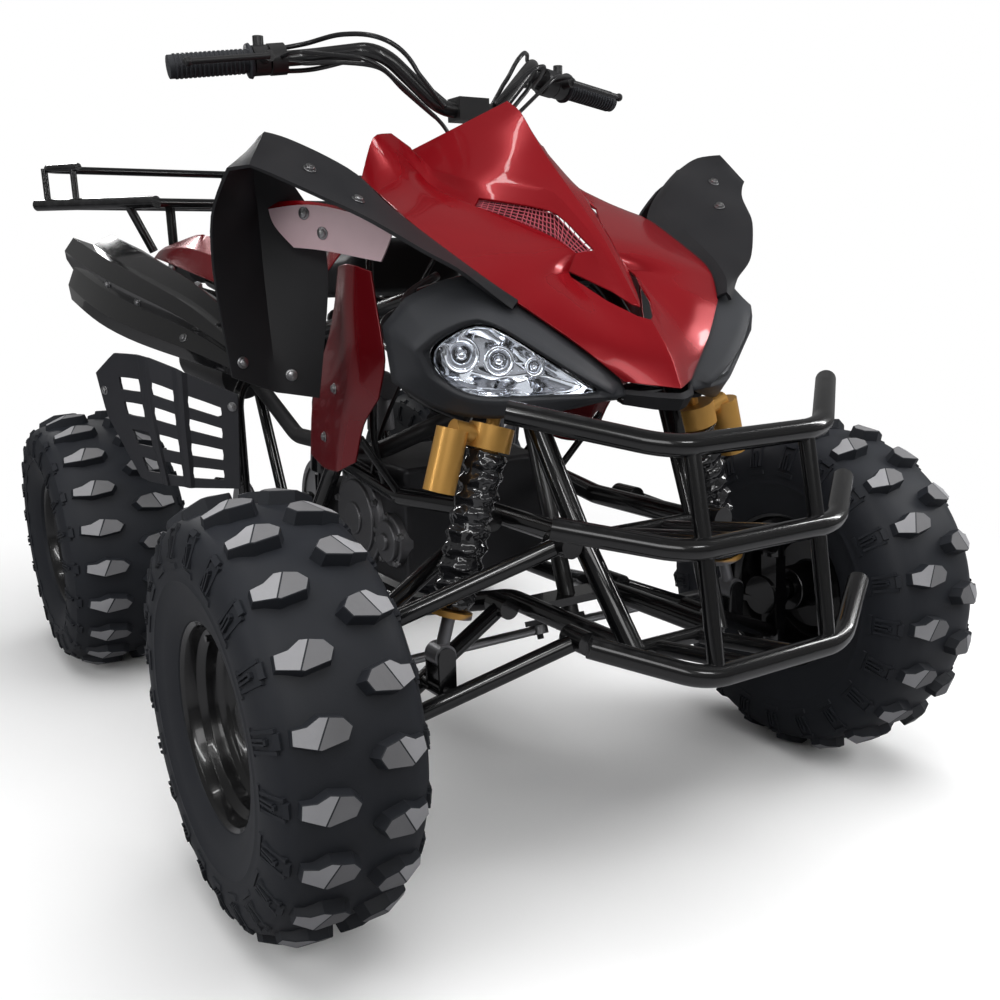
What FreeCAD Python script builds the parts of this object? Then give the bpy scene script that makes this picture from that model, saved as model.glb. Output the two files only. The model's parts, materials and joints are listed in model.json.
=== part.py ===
"""Sports quad bike: open tube frame, double front arms, chain-driven solid rear axle.

The front of the machine faces -Y, the rider's left hand is +X and the ground is z = 0.
Places are measured from the front axle line; frame_point moves them to the part's origin,
which lies on the ground under the middle of the machine.
"""
import FreeCAD, Part
import math
import os
from FreeCAD import Vector

SIZES = [
    # Overall layout
    ("wheelbase", 1152.0), ("front_reach", 394.5), ("rear_reach", 1424.0),
    ("body_half_width", 400.0), ("body_reach", 1000.0), ("body_height", 1000.0),
    ("running_gap", 0.3), ("moving_gap", 1.0), ("cut_overrun", 4.0),
    # Front wheels
    ("front_half_track", 485.0), ("front_tyre_radius", 279.0), ("front_tyre_width", 190.0),
    ("front_rim_width", 150.0), ("front_disc_offset", 25.0),
    # Rear wheels
    ("rear_half_track", 421.0), ("rear_tyre_radius", 270.0), ("rear_tyre_width", 245.0),
    ("rear_rim_width", 190.0), ("rear_disc_offset", 30.0),
    # Tyre and rim sections
    ("bead_radius", 127.0), ("rim_flange_radius", 134.0), ("rim_wall", 4.0), ("lug_depth", 13.0),
    ("hub_radius", 38.0), ("hub_bore_radius", 17.0), ("hub_cap_radius", 24.0),
    ("dish_depth", 22.0), ("front_hub_reach", 62.0), ("rear_hub_reach", 60.0),
    ("nut_height", 16.0),
    # Knuckles and arms
    ("kingpin_top_x", 375.0), ("kingpin_top_z", 360.0), ("kingpin_low_x", 385.0),
    ("kingpin_low_z", 215.0), ("kingpin_y", -15.0), ("arm_tube_radius", 12.0),
    ("upper_pivot_x", 130.0), ("upper_pivot_z", 467.0), ("lower_pivot_x", 104.0),
    ("lower_pivot_z", 332.0), ("arm_front_y", -125.0), ("arm_rear_y", 62.0),
    ("pivot_sleeve_radius", 16.0), ("pivot_sleeve_length", 44.0), ("ball_joint_radius", 17.0),
    ("upright_half_depth", 16.0), ("upright_half_width", 11.0), ("spindle_radius", 15.0),
    # Steering
    ("stem_foot_y", 30.0), ("stem_foot_z", 300.0), ("stem_head_y", 290.0),
    ("stem_head_z", 1020.0), ("stem_radius", 13.0), ("pitman_length", 58.0),
    ("pitman_half_spread", 24.0), ("pitman_thickness", 8.0), ("knuckle_arm_length", 75.0),
    ("knuckle_arm_thickness", 10.0), ("tie_rod_radius", 7.0), ("tie_eye_radius", 14.0),
    ("tie_stud_radius", 5.0), ("tie_eye_height", 14.0), ("knuckle_arm_inset", 20.0),
    ("knuckle_arm_z", 268.0),
    ("bar_radius", 11.0), ("grip_radius", 16.0), ("grip_length", 118.0), ("grip_inner_x", 285.0),
    ("bar_bend_radius", 60.0), ("clamp_half_width", 26.0), ("perch_width", 24.0),
    ("cable_radius", 3.0), ("cable_bend_radius", 70.0), ("cable_foot_z", 905.0),
    ("lever_reach", 42.0), ("lever_radius", 4.5), ("mirror_boss_height", 22.0),
    ("mirror_boss_radius", 8.0), ("mirror_thread_radius", 4.0), ("mirror_thread_depth", 14.0),
    # Chassis tubes and bumper
    ("frame_tube_radius", 15.0), ("brace_tube_radius", 11.0), ("frame_bend_radius", 70.0),
    ("nose_frame_reach", 75.0), ("nose_rail_end_y", 85.0), ("cradle_half_width", 150.0),
    ("cradle_z", 290.0), ("cradle_front_y", 250.0), ("cradle_rear_y", 700.0),
    ("seat_foot_y", 820.0), ("seat_foot_z", 340.0), ("tower_x", 118.0),
    ("head_rail_x", 110.0), ("head_rail_y", 110.0), ("head_z", 790.0),
    ("head_tube_radius", 22.0), ("head_tube_length", 60.0), ("tank_rail_y", 300.0),
    ("tank_rail_z", 765.0), ("seat_rail_x", 130.0), ("seat_rail_front_y", 640.0),
    ("seat_rail_front_z", 700.0), ("seat_rail_y", 1170.0), ("seat_rail_z", 800.0),
    ("mid_rail_front_y", 100.0), ("mid_rail_y", 280.0), ("mid_rail_rear_x", 155.0),
    ("mid_rail_rear_y", 500.0), ("mid_rail_rear_z", 500.0), ("foot_brace_x", 245.0),
    ("foot_brace_y", 735.0), ("foot_brace_low_z", 380.0), ("foot_brace_high_z", 600.0),
    ("foot_brace_end_y", 770.0), ("foot_brace_end_z", 705.0), ("seat_brace_y", 1010.0),
    ("seat_brace_z", 755.0), ("peg_x", 375.0), ("peg_y", 520.0), ("peg_z", 305.0),
    ("rear_cross_y", 1150.0), ("rear_cross_z", 796.0), ("foot_block_depth", 44.0),
    ("foot_block_height", 12.0), ("column_bore_overrun", 100.0),
    ("stay_radius", 6.0), ("stay_search", 60.0),
    ("bumper_tube_radius", 13.5), ("bumper_strut_radius", 10.0), ("bumper_bend_radius", 95.0),
    ("bumper_strut_x", 92.0),
    # Springs
    ("shock_y", -32.0), ("shock_low_x", 262.0), ("shock_low_z", 318.0), ("shock_top_x", 165.0),
    ("shock_top_z", 640.0), ("shock_rod_radius", 9.0), ("spring_radius", 26.0),
    ("spring_wire_radius", 4.0), ("ear_thickness", 4.0), ("reservoir_radius", 21.0),
    ("reservoir_length", 82.0), ("rear_shock_y", 850.0), ("rear_shock_z", 700.0),
    ("rear_shock_foot", 60.0),
    # Rear axle
    ("axle_radius", 16.0), ("carrier_radius", 40.0), ("carrier_half_length", 62.0),
    ("chain_x", 92.0), ("sprocket_radius", 102.0), ("sprocket_thickness", 6.0),
    ("drive_sprocket_radius", 34.0), ("chain_width", 14.0), ("chain_depth", 14.0),
    ("drive_sprocket_y", 592.0), ("drive_sprocket_z", 345.0),
    ("disc_x", 100.0), ("disc_radius", 90.0), ("disc_thickness", 5.0),
    ("swing_pivot_y", 780.0), ("swing_pivot_z", 323.0), ("swing_arm_x", 60.0),
    ("swing_arm_inset", 30.0), ("swing_cross_x", 56.0), ("swing_cross_y", 940.0),
    ("swing_cross_z", 280.0), ("swing_post_z", 330.0),
    # Engine and exhaust
    ("engine_front_y", 290.0), ("engine_rear_y", 620.0), ("engine_base_z", 306.0),
    ("engine_top_z", 505.0), ("engine_edge_radius", 18.0), ("cylinder_half", 62.0),
    ("cylinder_height", 190.0), ("fin_thickness", 5.0), ("gearbox_drop", 60.0),
    ("barrel_sink", 30.0), ("exhaust_pipe_radius", 14.0), ("silencer_radius", 44.0),
    # Panels
    ("reflector_depth", 34.0), ("rack_guard_height", 74.0),
    ("panel_thickness", 3.5), ("lens_thickness", 3.0), ("lens_bulge", 8.0),
    # Carrier rack
    ("rack_rail_radius", 12.0), ("rack_bar_radius", 9.0), ("rack_guard_radius", 8.0),
]

doc = FreeCAD.newDocument("QuadBike")
sheet = doc.addObject("Spreadsheet::Sheet", "Sizes")
for row, (alias, value) in enumerate(SIZES, start=1):
    sheet.set("A%d" % row, alias)
    sheet.set("B%d" % row, "%g" % value)
    sheet.setAlias("B%d" % row, alias)
doc.recompute()
nodes = []


def size(name):
    """Value of a named cell in the sheet."""
    return float(sheet.get(name))


# Places in the machine

MID_Y = (size("rear_reach") - size("front_reach")) / 2
TYRE_SECTORS = 42
LUG_ARC_SHARE = 0.36
LUG_HALF_ANGLE = LUG_ARC_SHARE * 2 * math.pi / TYRE_SECTORS
FRONT_AXLE_Z = size("front_tyre_radius") * math.cos(LUG_HALF_ANGLE)
REAR_AXLE_Z = size("rear_tyre_radius") * math.cos(LUG_HALF_ANGLE)
X_AXIS, Y_AXIS, Z_AXIS = Vector(1, 0, 0), Vector(0, 1, 0), Vector(0, 0, 1)


def frame_point(x, y, z):
    """Point given by side, distance behind the front axle line, and height."""
    return Vector(x, y - MID_Y, z)


def body_point(shares):
    """Point given in shares of the body's half width, reach and height."""
    return frame_point(
        shares[0] * size("body_half_width"),
        shares[1] * size("body_reach"),
        shares[2] * size("body_height"),
    )


def mirrored(shape):
    """The same shape on the rider's other side."""
    return shape.mirror(Vector(), X_AXIS)


def pair(shape):
    """A left-hand shape and its right-hand twin."""
    return Part.makeCompound([shape, mirrored(shape)])


def keep(label, shape, place=None):
    """Adds a finished shape to the document as a sub-part."""
    obj = doc.addObject("Part::Feature", label)
    obj.Label = label
    obj.Shape = shape
    if place:
        obj.Placement = place
    nodes.append(obj)
    return obj


def node_shape(label):
    """Shape of a finished sub-part, in its place."""
    return [node for node in nodes if node.Label == label][0].Shape


# Objects bound to the sheet

def bar(radius, start, end):
    """Round bar between two points, whose radius is read from the sheet."""
    obj = doc.addObject("Part::Cylinder", "bar")
    obj.setExpression("Radius", radius)
    obj.Height = (end - start).Length
    obj.Placement = FreeCAD.Placement(start, FreeCAD.Rotation(Z_AXIS, end - start))
    return obj


def bar_on(radius, length, middle, direction):
    """Round bar centred on a point, whose radius and length are read from the sheet."""
    obj = doc.addObject("Part::Cylinder", "bar")
    obj.setExpression("Radius", radius)
    obj.setExpression("Height", length)
    obj.recompute()
    direction = Vector(direction).normalize()
    start = middle - direction * (obj.Height.Value / 2)
    obj.Placement = FreeCAD.Placement(start, FreeCAD.Rotation(Z_AXIS, direction))
    return obj


def merged(label, pieces):
    """One solid from bars that overlap."""
    obj = doc.addObject("Part::MultiFuse", label)
    obj.Shapes = pieces
    obj.Refine = False
    return obj


def bored(label, base, tool):
    """A solid with the room of a bar taken out of it."""
    obj = doc.addObject("Part::Cut", label)
    obj.Base = base
    obj.Tool = tool
    obj.Refine = False
    return obj


def on_both_sides(label, left):
    """A left-hand object and its mirror image, as one object."""
    right = doc.addObject("Part::Mirroring", label + "_right")
    right.Source = left
    right.Base = Vector()
    right.Normal = X_AXIS
    obj = doc.addObject("Part::Compound", label)
    obj.Links = [left, right]
    return obj


def keep_object(obj):
    """Takes a finished document object as a sub-part under its own name."""
    obj.Label = obj.Name
    doc.recompute()
    nodes.append(obj)
    return obj


# Shape helpers

def rod(start, end, radius):
    """Round bar between two points."""
    return Part.makeCylinder(radius, (end - start).Length, start, end - start)


def rod_on(middle, direction, length, radius):
    """Round bar centred on a point."""
    direction = Vector(direction).normalize()
    return Part.makeCylinder(radius, length, middle - direction * (length / 2), direction)


def block(low, high):
    """Box between two opposite corners."""
    span = high - low
    return Part.makeBox(span.x, span.y, span.z, low)


def bend_radius(before, corner, after, largest):
    """Largest bend that two straight runs allow, up to the bender's radius."""
    run_in = (before - corner).Length
    run_out = (after - corner).Length
    turn = math.pi - (before - corner).getAngle(after - corner)
    return min(largest, 0.45 * min(run_in, run_out) / math.tan(turn / 2))


def bent_path(points, largest):
    """Straight runs joined by tangent arcs."""
    edges = []
    start = points[0]
    for before, corner, after in zip(points, points[1:], points[2:]):
        back = (before - corner).normalize()
        ahead = (after - corner).normalize()
        half = back.getAngle(ahead) / 2
        radius = bend_radius(before, corner, after, largest)
        tangent = radius / math.tan(half)
        middle_way = (back + ahead).normalize()
        centre = corner + middle_way * (radius / math.sin(half))
        arc_in = corner + back * tangent
        arc_out = corner + ahead * tangent
        edges.append(Part.LineSegment(start, arc_in).toShape())
        edges.append(Part.Arc(arc_in, centre - middle_way * radius, arc_out).toShape())
        start = arc_out
    edges.append(Part.LineSegment(start, points[-1]).toShape())
    return Part.Wire(edges)


def stay(start, towards, radius, target):
    """Round bar that starts on its carrier and ends a running gap before a target shape.

    Its mirror image keeps the same gap to the target.
    """
    way = (towards - start).normalize()
    near, far = 0.0, (towards - start).Length + 2 * size("stay_search")
    for _ in range(STAY_STEPS):
        middle = (near + far) / 2
        piece = rod(start, start + way * middle, radius)
        gap = min(piece.distToShape(target)[0], mirrored(piece).distToShape(target)[0])
        if gap > size("running_gap"):
            near = middle
        else:
            far = middle
    if near < radius:
        raise RuntimeError("a stay has no room")
    return rod(start, start + way * near, radius)


STAY_STEPS = 14


def tube(points, radius, largest=None):
    """Round tube bent along a route of points."""
    path = bent_path(points, largest or 6 * radius)
    section = Part.Wire(Part.makeCircle(radius, points[0], points[1] - points[0]))
    return path.makePipeShell([section], True, False)


def facets(corners):
    """Flat face through the corners, or two triangles where they are not in one plane."""
    a, b, c = corners[:3]
    if len(corners) == 4:
        d = corners[3]
        normal = (b - a).cross(c - a)
        if normal.Length > 0 and abs(normal.normalize().dot(d - a)) > 1e-6:
            return facets([a, b, c]) + facets([a, c, d])
    return [Part.Face(Part.makePolygon(list(corners) + [a]))]


def closed_solid(faces):
    """Solid from faces that meet edge to edge."""
    shell = Part.makeShell(faces)
    shell.sewShape()
    solid = Part.makeSolid(shell)
    if solid.Volume < 0:
        solid.reverse()
    return solid


def grid_normals(grid, closed):
    """Unit normal of a grid of points at each point."""
    rows, columns = len(grid), len(grid[0])
    normals = []
    for i in range(rows):
        line = []
        for j in range(columns):
            along = grid[min(i + 1, rows - 1)][j] - grid[max(i - 1, 0)][j]
            if closed:
                across = grid[i][(j + 1) % columns] - grid[i][j - 1]
            else:
                across = grid[i][min(j + 1, columns - 1)] - grid[i][max(j - 1, 0)]
            line.append(along.cross(across).normalize())
        normals.append(line)
    return normals


def shell_panel(grid, inner, closed=False, open_cells=()):
    """Moulded panel between its outer and inner grids of points, with some cells left open."""
    rows, columns = len(grid), len(grid[0])
    last = columns if closed else columns - 1
    cells = {(i, j) for i in range(rows - 1) for j in range(last)} - set(open_cells)
    faces = []
    for i, j in sorted(cells):
        k = (j + 1) % columns
        spots = [(i, j), (i + 1, j), (i + 1, k), (i, k)]
        before = (j - 1) % last if closed else j - 1
        beside = [(i, before), (i + 1, j), (i, k if closed else j + 1), (i - 1, j)]
        faces += facets([grid[a][b] for a, b in spots])
        faces += facets([inner[a][b] for a, b in (spots[0], spots[3], spots[2], spots[1])])
        for cell, (a, b), (c, d) in zip(beside, spots, spots[1:] + spots[:1]):
            if cell not in cells:
                faces += facets([grid[a][b], grid[c][d], inner[c][d], inner[a][b]])
    return closed_solid(faces)


def body_panel(share_rows, thickness, closed=False):
    """Moulded panel of even thickness whose outer face runs through rows of body shares."""
    grid = [[body_point(shares) for shares in row] for row in share_rows]
    inner = []
    for points, line in zip(grid, grid_normals(grid, closed)):
        inner.append([p - n * thickness for p, n in zip(points, line)])
    return shell_panel(grid, inner, closed)


def pressed_panel(share_rows, step, closed=False, open_cells=()):
    """Moulded panel whose inner face is its outer face moved by one step."""
    grid = [[body_point(shares) for shares in row] for row in share_rows]
    inner = [[point + step for point in row] for row in grid]
    return shell_panel(grid, inner, closed, open_cells)


def across_middle(share_rows):
    """Rows that run from the left edge to the middle, continued to the right edge."""
    return [row + [(-x, y, z) for x, y, z in reversed(row[:-1])] for row in share_rows]


def section_loft(share_rows):
    """Solid through closed rows of body shares, with straight facets between them."""
    wires = [Part.makePolygon([body_point(s) for s in row + row[:1]]) for row in share_rows]
    return Part.makeLoft(wires, True, True)


# Tyres: sidewalls, two staggered rows of tread lugs and shoulder lugs

TYRE_SIDE_SHARES = [(0.49, 0.33), (0.50, 0.70), (0.44, 0.95), (0.0, 1.0)]
LUG_TOP_SHARES = {2: (0.30, 0.80), 3: (0.12, 0.86)}


def tyre_profile(width, radius, rim_half, bead, depth):
    """Half profile from the outer bead to the middle of the tread, as side and radius."""
    carcass = radius - depth
    points = [(rim_half - size("rim_wall"), bead)]
    for side, rise in TYRE_SIDE_SHARES:
        points.append((side * width, bead + rise * (carcass - bead)))
    return points


def tyre(width, radius, rim_width, turn=0.0):
    """Knobbly tyre around the X axis, with its lugs as part of the carcass."""
    bead, depth = size("bead_radius"), size("lug_depth")
    half = tyre_profile(width, radius, rim_width / 2, bead, depth)
    profile = half + [(-u, r) for u, r in reversed(half[:-1])]
    pitch = 2 * math.pi / TYRE_SECTORS

    def spot(side, rad, sector):
        angle = sector * pitch - math.pi / 2
        return Vector(side, rad * math.cos(angle), rad * math.sin(angle))

    faces = []
    bands = len(profile) - 1
    lug_bands = {2: 0, 3: 0, bands - 4: 1, bands - 3: 1}
    for band in range(bands):
        (u0, r0), (u1, r1) = profile[band], profile[band + 1]
        for sector in range(TYRE_SECTORS):
            a, b = sector - 0.5, sector + 0.5
            base = [spot(u0, r0, a), spot(u1, r1, a), spot(u1, r1, b), spot(u0, r0, b)]
            if band not in lug_bands or sector % 2 != lug_bands[band]:
                faces += facets(base)
                continue
            near, far = LUG_TOP_SHARES[band if band < 4 else bands - 1 - band]
            if band > 3:
                near, far = 1 - far, 1 - near
            top = []
            for share, edge in ((near, -1), (far, -1), (far, 1), (near, 1)):
                side = u0 + (u1 - u0) * share
                rad = r0 + (r1 - r0) * share
                crown = band in (3, bands - 4) and share == (far if band == 3 else near)
                lift = radius if crown else rad + depth
                top.append(spot(side, lift, sector + edge * LUG_ARC_SHARE))
            faces += facets(top)
            for k in range(4):
                n = (k + 1) % 4
                faces += facets([base[k], base[n], top[n], top[k]])
    (u0, r0), (u1, r1) = profile[-1], profile[0]
    for sector in range(TYRE_SECTORS):
        a, b = sector - 0.5, sector + 0.5
        faces += facets([spot(u0, r0, a), spot(u1, r1, a), spot(u1, r1, b), spot(u0, r0, b)])
    return closed_solid(faces)


def rim_outline(width, half_rim, disc_side, bore, hub_back):
    """Half section of a pressed steel rim with a dished disc and a hub barrel."""
    bead, wall, gap = size("bead_radius"), size("rim_wall"), size("running_gap")
    tyre_side, tyre_rise = TYRE_SIDE_SHARES[0]
    flange_run = tyre_side * width - (half_rim - wall)
    slope = tyre_rise * (size("front_tyre_radius") - size("lug_depth") - bead) / flange_run
    seat = bead * math.cos(math.pi / TYRE_SECTORS) - gap
    flange = seat + min(slope * wall, 2 * wall) - 2 * gap
    inner = seat - wall
    hub, dish = size("hub_radius"), size("dish_depth")
    return [
        (half_rim, flange), (half_rim - wall, seat), (wall - half_rim, seat),
        (-half_rim, flange), (-half_rim, flange - wall), (wall - half_rim, inner),
        (disc_side - wall, inner), (disc_side - wall - dish, 2 * hub),
        (disc_side - wall - dish, hub), (hub_back, hub), (hub_back, bore),
        (disc_side, bore), (disc_side, hub), (disc_side - dish, hub),
        (disc_side - dish, 2 * hub), (disc_side, inner), (half_rim - wall, inner),
        (half_rim, flange - wall),
    ]


def revolved(label, outline, place):
    """Body turned around its X axis from a closed half outline of (side, radius) points."""
    body = doc.addObject("PartDesign::Body", label)
    body.Label = label
    plane = [o for o in body.Origin.OriginFeatures if o.Role == "XY_Plane"][0]
    sketch = body.newObject("Sketcher::SketchObject", label + "_outline")
    sketch.AttachmentSupport = [(plane, "")]
    sketch.MapMode = "FlatFace"
    corners = [Vector(side, rad, 0) for side, rad in outline]
    for start, end in zip(corners, corners[1:] + corners[:1]):
        sketch.addGeometry(Part.LineSegment(start, end), False)
    turn = body.newObject("PartDesign::Revolution", label + "_turn")
    turn.Profile = sketch
    turn.ReferenceAxis = (sketch, ["H_Axis"])
    turn.Angle = 360
    doc.recompute()
    body.Placement = place
    nodes.append(body)
    return body


# Wheels

def wheel_place(x, y, z, left):
    """Placement of a wheel whose outer face looks away from the machine."""
    turn = FreeCAD.Rotation() if left else FreeCAD.Rotation(Z_AXIS, 180)
    return FreeCAD.Placement(frame_point(x if left else -x, y, z), turn)


front_tyre = tyre(size("front_tyre_width"), size("front_tyre_radius"), size("front_rim_width"))
rear_tyre = tyre(size("rear_tyre_width"), size("rear_tyre_radius"), size("rear_rim_width"))
front_rim = rim_outline(
    size("front_tyre_width"), size("front_rim_width") / 2, size("front_disc_offset"),
    size("hub_bore_radius"), -size("front_hub_reach"),
)
rear_rim = rim_outline(
    size("rear_tyre_width"), size("rear_rim_width") / 2, size("rear_disc_offset"),
    size("axle_radius") + size("running_gap"), -size("rear_hub_reach"),
)
for side_name, left in (("left", True), ("right", False)):
    front = wheel_place(size("front_half_track"), 0, FRONT_AXLE_Z, left)
    rear = wheel_place(size("rear_half_track"), size("wheelbase"), REAR_AXLE_Z, left)
    keep("tyre_front_" + side_name, front_tyre, front)
    keep("tyre_rear_" + side_name, rear_tyre, rear)
    revolved("rim_front_" + side_name, front_rim, front)
    revolved("rim_rear_" + side_name, rear_rim, rear)


# Solid rear axle with its chain wheel and brake disc

AXLE_LINE = frame_point(0, size("wheelbase"), REAR_AXLE_Z)


def rear_axle():
    """Axle bar, wheel seats, sprocket and disc, turning as one."""
    chain_spot = AXLE_LINE + X_AXIS * size("chain_x")
    disc_spot = AXLE_LINE - X_AXIS * size("disc_x")
    full_length = "2 * (Sizes.rear_half_track + Sizes.rear_disc_offset)"
    pieces = [
        bar_on("Sizes.axle_radius", full_length, AXLE_LINE, X_AXIS),
        bar_on("Sizes.sprocket_radius", "Sizes.sprocket_thickness", chain_spot, X_AXIS),
        bar_on("Sizes.disc_radius", "Sizes.disc_thickness", disc_spot, X_AXIS),
    ]
    for spot in (chain_spot, disc_spot):
        pieces.append(bar_on("2 * Sizes.axle_radius", "4 * Sizes.sprocket_thickness", spot, X_AXIS))
    return merged("rear_axle", pieces)


keep_object(rear_axle())


# Knuckles: upright with kingpin, spindle and steering arm

KINGPIN_TOP = frame_point(size("kingpin_top_x"), size("kingpin_y"), size("kingpin_top_z"))
KINGPIN_LOW = frame_point(size("kingpin_low_x"), size("kingpin_y"), size("kingpin_low_z"))
KINGPIN = (KINGPIN_TOP - KINGPIN_LOW).normalize()
EYE_HALF = size("ball_joint_radius") * 0.6
PIN_RADIUS = size("ball_joint_radius") * 0.45
ARM_BALL = frame_point(
    size("kingpin_low_x") - size("knuckle_arm_inset"),
    size("kingpin_y") + size("knuckle_arm_length"),
    size("knuckle_arm_z"),
)


def upright_section(middle):
    """Rectangle across the upright at a place along the kingpin."""
    wide = X_AXIS * size("upright_half_width")
    deep = Y_AXIS * size("upright_half_depth")
    corners = [middle - wide - deep, middle + wide - deep, middle + wide + deep,
               middle - wide + deep]
    return Part.makePolygon(corners + corners[:1])


def knuckle():
    """Left-hand knuckle."""
    clear = EYE_HALF + size("running_gap") + size("upright_half_width") * abs(KINGPIN.x)
    low, top = KINGPIN_LOW + KINGPIN * clear, KINGPIN_TOP - KINGPIN * clear
    upright = Part.makeLoft([upright_section(low), upright_section(top)], True, True)
    pin = rod(KINGPIN_LOW - KINGPIN * EYE_HALF, KINGPIN_TOP + KINGPIN * EYE_HALF, PIN_RADIUS)
    spindle_root = frame_point(size("kingpin_top_x"), 0, FRONT_AXLE_Z)
    spindle_length = size("front_half_track") + size("front_disc_offset") - spindle_root.x
    spindle = rod(spindle_root, spindle_root + X_AXIS * (spindle_length + size("nut_height")),
                  size("spindle_radius"))
    nut_start = spindle_root + X_AXIS * (spindle_length + size("moving_gap"))
    nut = rod(nut_start, nut_start + X_AXIS * size("nut_height"), size("hub_cap_radius"))
    boss = rod(spindle_root - X_AXIS * size("upright_half_width"),
               spindle_root + X_AXIS * 2 * size("upright_half_width"), 2 * size("upright_half_depth"))
    half_arm = size("knuckle_arm_thickness") / 2
    root = Vector((KINGPIN_LOW.x + KINGPIN_TOP.x) / 2, KINGPIN_LOW.y, ARM_BALL.z)
    arm_end = rod_on(ARM_BALL, Z_AXIS, 2 * half_arm, size("tie_eye_radius"))
    wide = X_AXIS * (size("tie_eye_radius") * 0.7)
    corners = [root - wide, root + wide, ARM_BALL + wide, ARM_BALL - wide]
    strip = Part.Face(Part.makePolygon([c - Z_AXIS * half_arm for c in corners + corners[:1]]))
    arm = strip.extrude(Z_AXIS * 2 * half_arm)
    return upright.fuse([pin, spindle, nut, boss, arm_end, arm])


left_knuckle = knuckle()
keep("knuckle_left", left_knuckle)
keep("knuckle_right", mirrored(left_knuckle))


# Front arms

def a_arm(ball, pivot_x, pivot_z):
    """Left-hand arm of two legs, with pivot sleeves and an eye round the kingpin."""
    eye = rod_on(ball, KINGPIN, 2 * EYE_HALF, size("ball_joint_radius"))
    pieces = []
    for y in (size("arm_front_y"), size("arm_rear_y")):
        pivot = frame_point(pivot_x, y, pivot_z)
        pieces.append(rod_on(pivot, Y_AXIS, size("pivot_sleeve_length"),
                             size("pivot_sleeve_radius")))
        pieces.append(rod(pivot, ball, size("arm_tube_radius")))
    arm = eye.fuse(pieces)
    bore = rod_on(ball, KINGPIN, 4 * EYE_HALF, PIN_RADIUS + size("running_gap"))
    room = []
    for side in (1, -1):
        start = ball + KINGPIN * (side * (EYE_HALF))
        room.append(rod(start, start + KINGPIN * (side * 2 * EYE_HALF), 3 * EYE_HALF))
    return arm.cut([bore] + room)


def leg_point(ball, pivot, x):
    """Point of a leg's axis at a distance from the middle plane."""
    share = (x - pivot.x) / (ball.x - pivot.x)
    return pivot + (ball - pivot) * share


SHOCK_LOW = frame_point(size("shock_low_x"), size("shock_y"), size("shock_low_z"))
SHOCK_TOP = frame_point(size("shock_top_x"), size("shock_y"), size("shock_top_z"))
SHOCK_LINE = (SHOCK_TOP - SHOCK_LOW).normalize()
SHOCK_EYE_HALF = size("pivot_sleeve_radius") * 0.9
EAR_GAP = SHOCK_EYE_HALF + size("running_gap")


def ear_pair(middle, reach, half_width):
    """Two plates across the Y axis on both sides of an eye, reaching along a direction."""
    plates = []
    for side in (1, -1):
        start = middle + Y_AXIS * (side * EAR_GAP)
        side_step = reach.cross(Y_AXIS).normalize() * half_width
        corners = [start - side_step, start + side_step, start + reach + side_step,
                   start + reach - side_step]
        face = Part.Face(Part.makePolygon(corners + corners[:1]))
        plates.append(face.extrude(Y_AXIS * (side * size("ear_thickness"))))
        plates.append(rod(start, start + Y_AXIS * (side * size("ear_thickness")), half_width))
    return plates


def lower_arm():
    """Lower arm with the cross tube and ears that carry the spring leg."""
    arm = a_arm(KINGPIN_LOW, size("lower_pivot_x"), size("lower_pivot_z"))
    ends = []
    for y in (size("arm_front_y"), size("arm_rear_y")):
        pivot = frame_point(size("lower_pivot_x"), y, size("lower_pivot_z"))
        ends.append(leg_point(KINGPIN_LOW, pivot, size("shock_low_x")))
    cross = rod(ends[0], ends[1], size("arm_tube_radius") * 0.8)
    drop = Vector(0, 0, ends[0].z - SHOCK_LOW.z)
    return arm.fuse([cross] + ear_pair(SHOCK_LOW, drop, size("pivot_sleeve_radius") * 0.8))


keep("upper_arms", pair(a_arm(KINGPIN_TOP, size("upper_pivot_x"), size("upper_pivot_z"))))
keep("lower_arms", pair(lower_arm()))


# Front spring legs

SPRING_LOW_SHARE, SPRING_TOP_SHARE, SLEEVE_SHARE = 0.16, 0.82, 0.5
EYE_CELL = "Sizes.pivot_sleeve_radius"
SEAT_CELL = "Sizes.spring_radius + Sizes.spring_wire_radius"


def shock_spot(share):
    """Point of the spring leg's axis at a share of its length."""
    return SHOCK_LOW + (SHOCK_TOP - SHOCK_LOW) * share


def shock_body():
    """Damper with its eyes, spring seats and the reservoir on its bridge."""
    eye, seat = size("pivot_sleeve_radius"), size("spring_radius") + size("spring_wire_radius")
    low_seat, top_seat = shock_spot(SPRING_LOW_SHARE), shock_spot(SPRING_TOP_SHARE)
    outward = Y_AXIS.cross(SHOCK_LINE)
    if outward.x < 0:
        outward = outward * -1
    bridge = top_seat + SHOCK_LINE * eye
    bottle = bridge + outward * (seat + size("reservoir_radius") * 1.3)
    pieces = [
        bar_on(EYE_CELL, "1.8 * " + EYE_CELL, SHOCK_LOW, Y_AXIS),
        bar_on(EYE_CELL, "1.8 * " + EYE_CELL, SHOCK_TOP, Y_AXIS),
        bar("Sizes.shock_rod_radius", SHOCK_LOW, SHOCK_TOP),
        bar(SEAT_CELL, low_seat, low_seat + SHOCK_LINE * eye / 2),
        bar(SEAT_CELL, top_seat, top_seat + SHOCK_LINE * 2 * eye),
        bar(EYE_CELL, shock_spot(SLEEVE_SHARE), top_seat),
        bar("Sizes.reservoir_radius", bottle, bottle - SHOCK_LINE * size("reservoir_length")),
        bar("0.8 * " + EYE_CELL, bridge, bottle),
    ]
    return on_both_sides("front_shocks", merged("front_shock_left", pieces))


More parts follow.
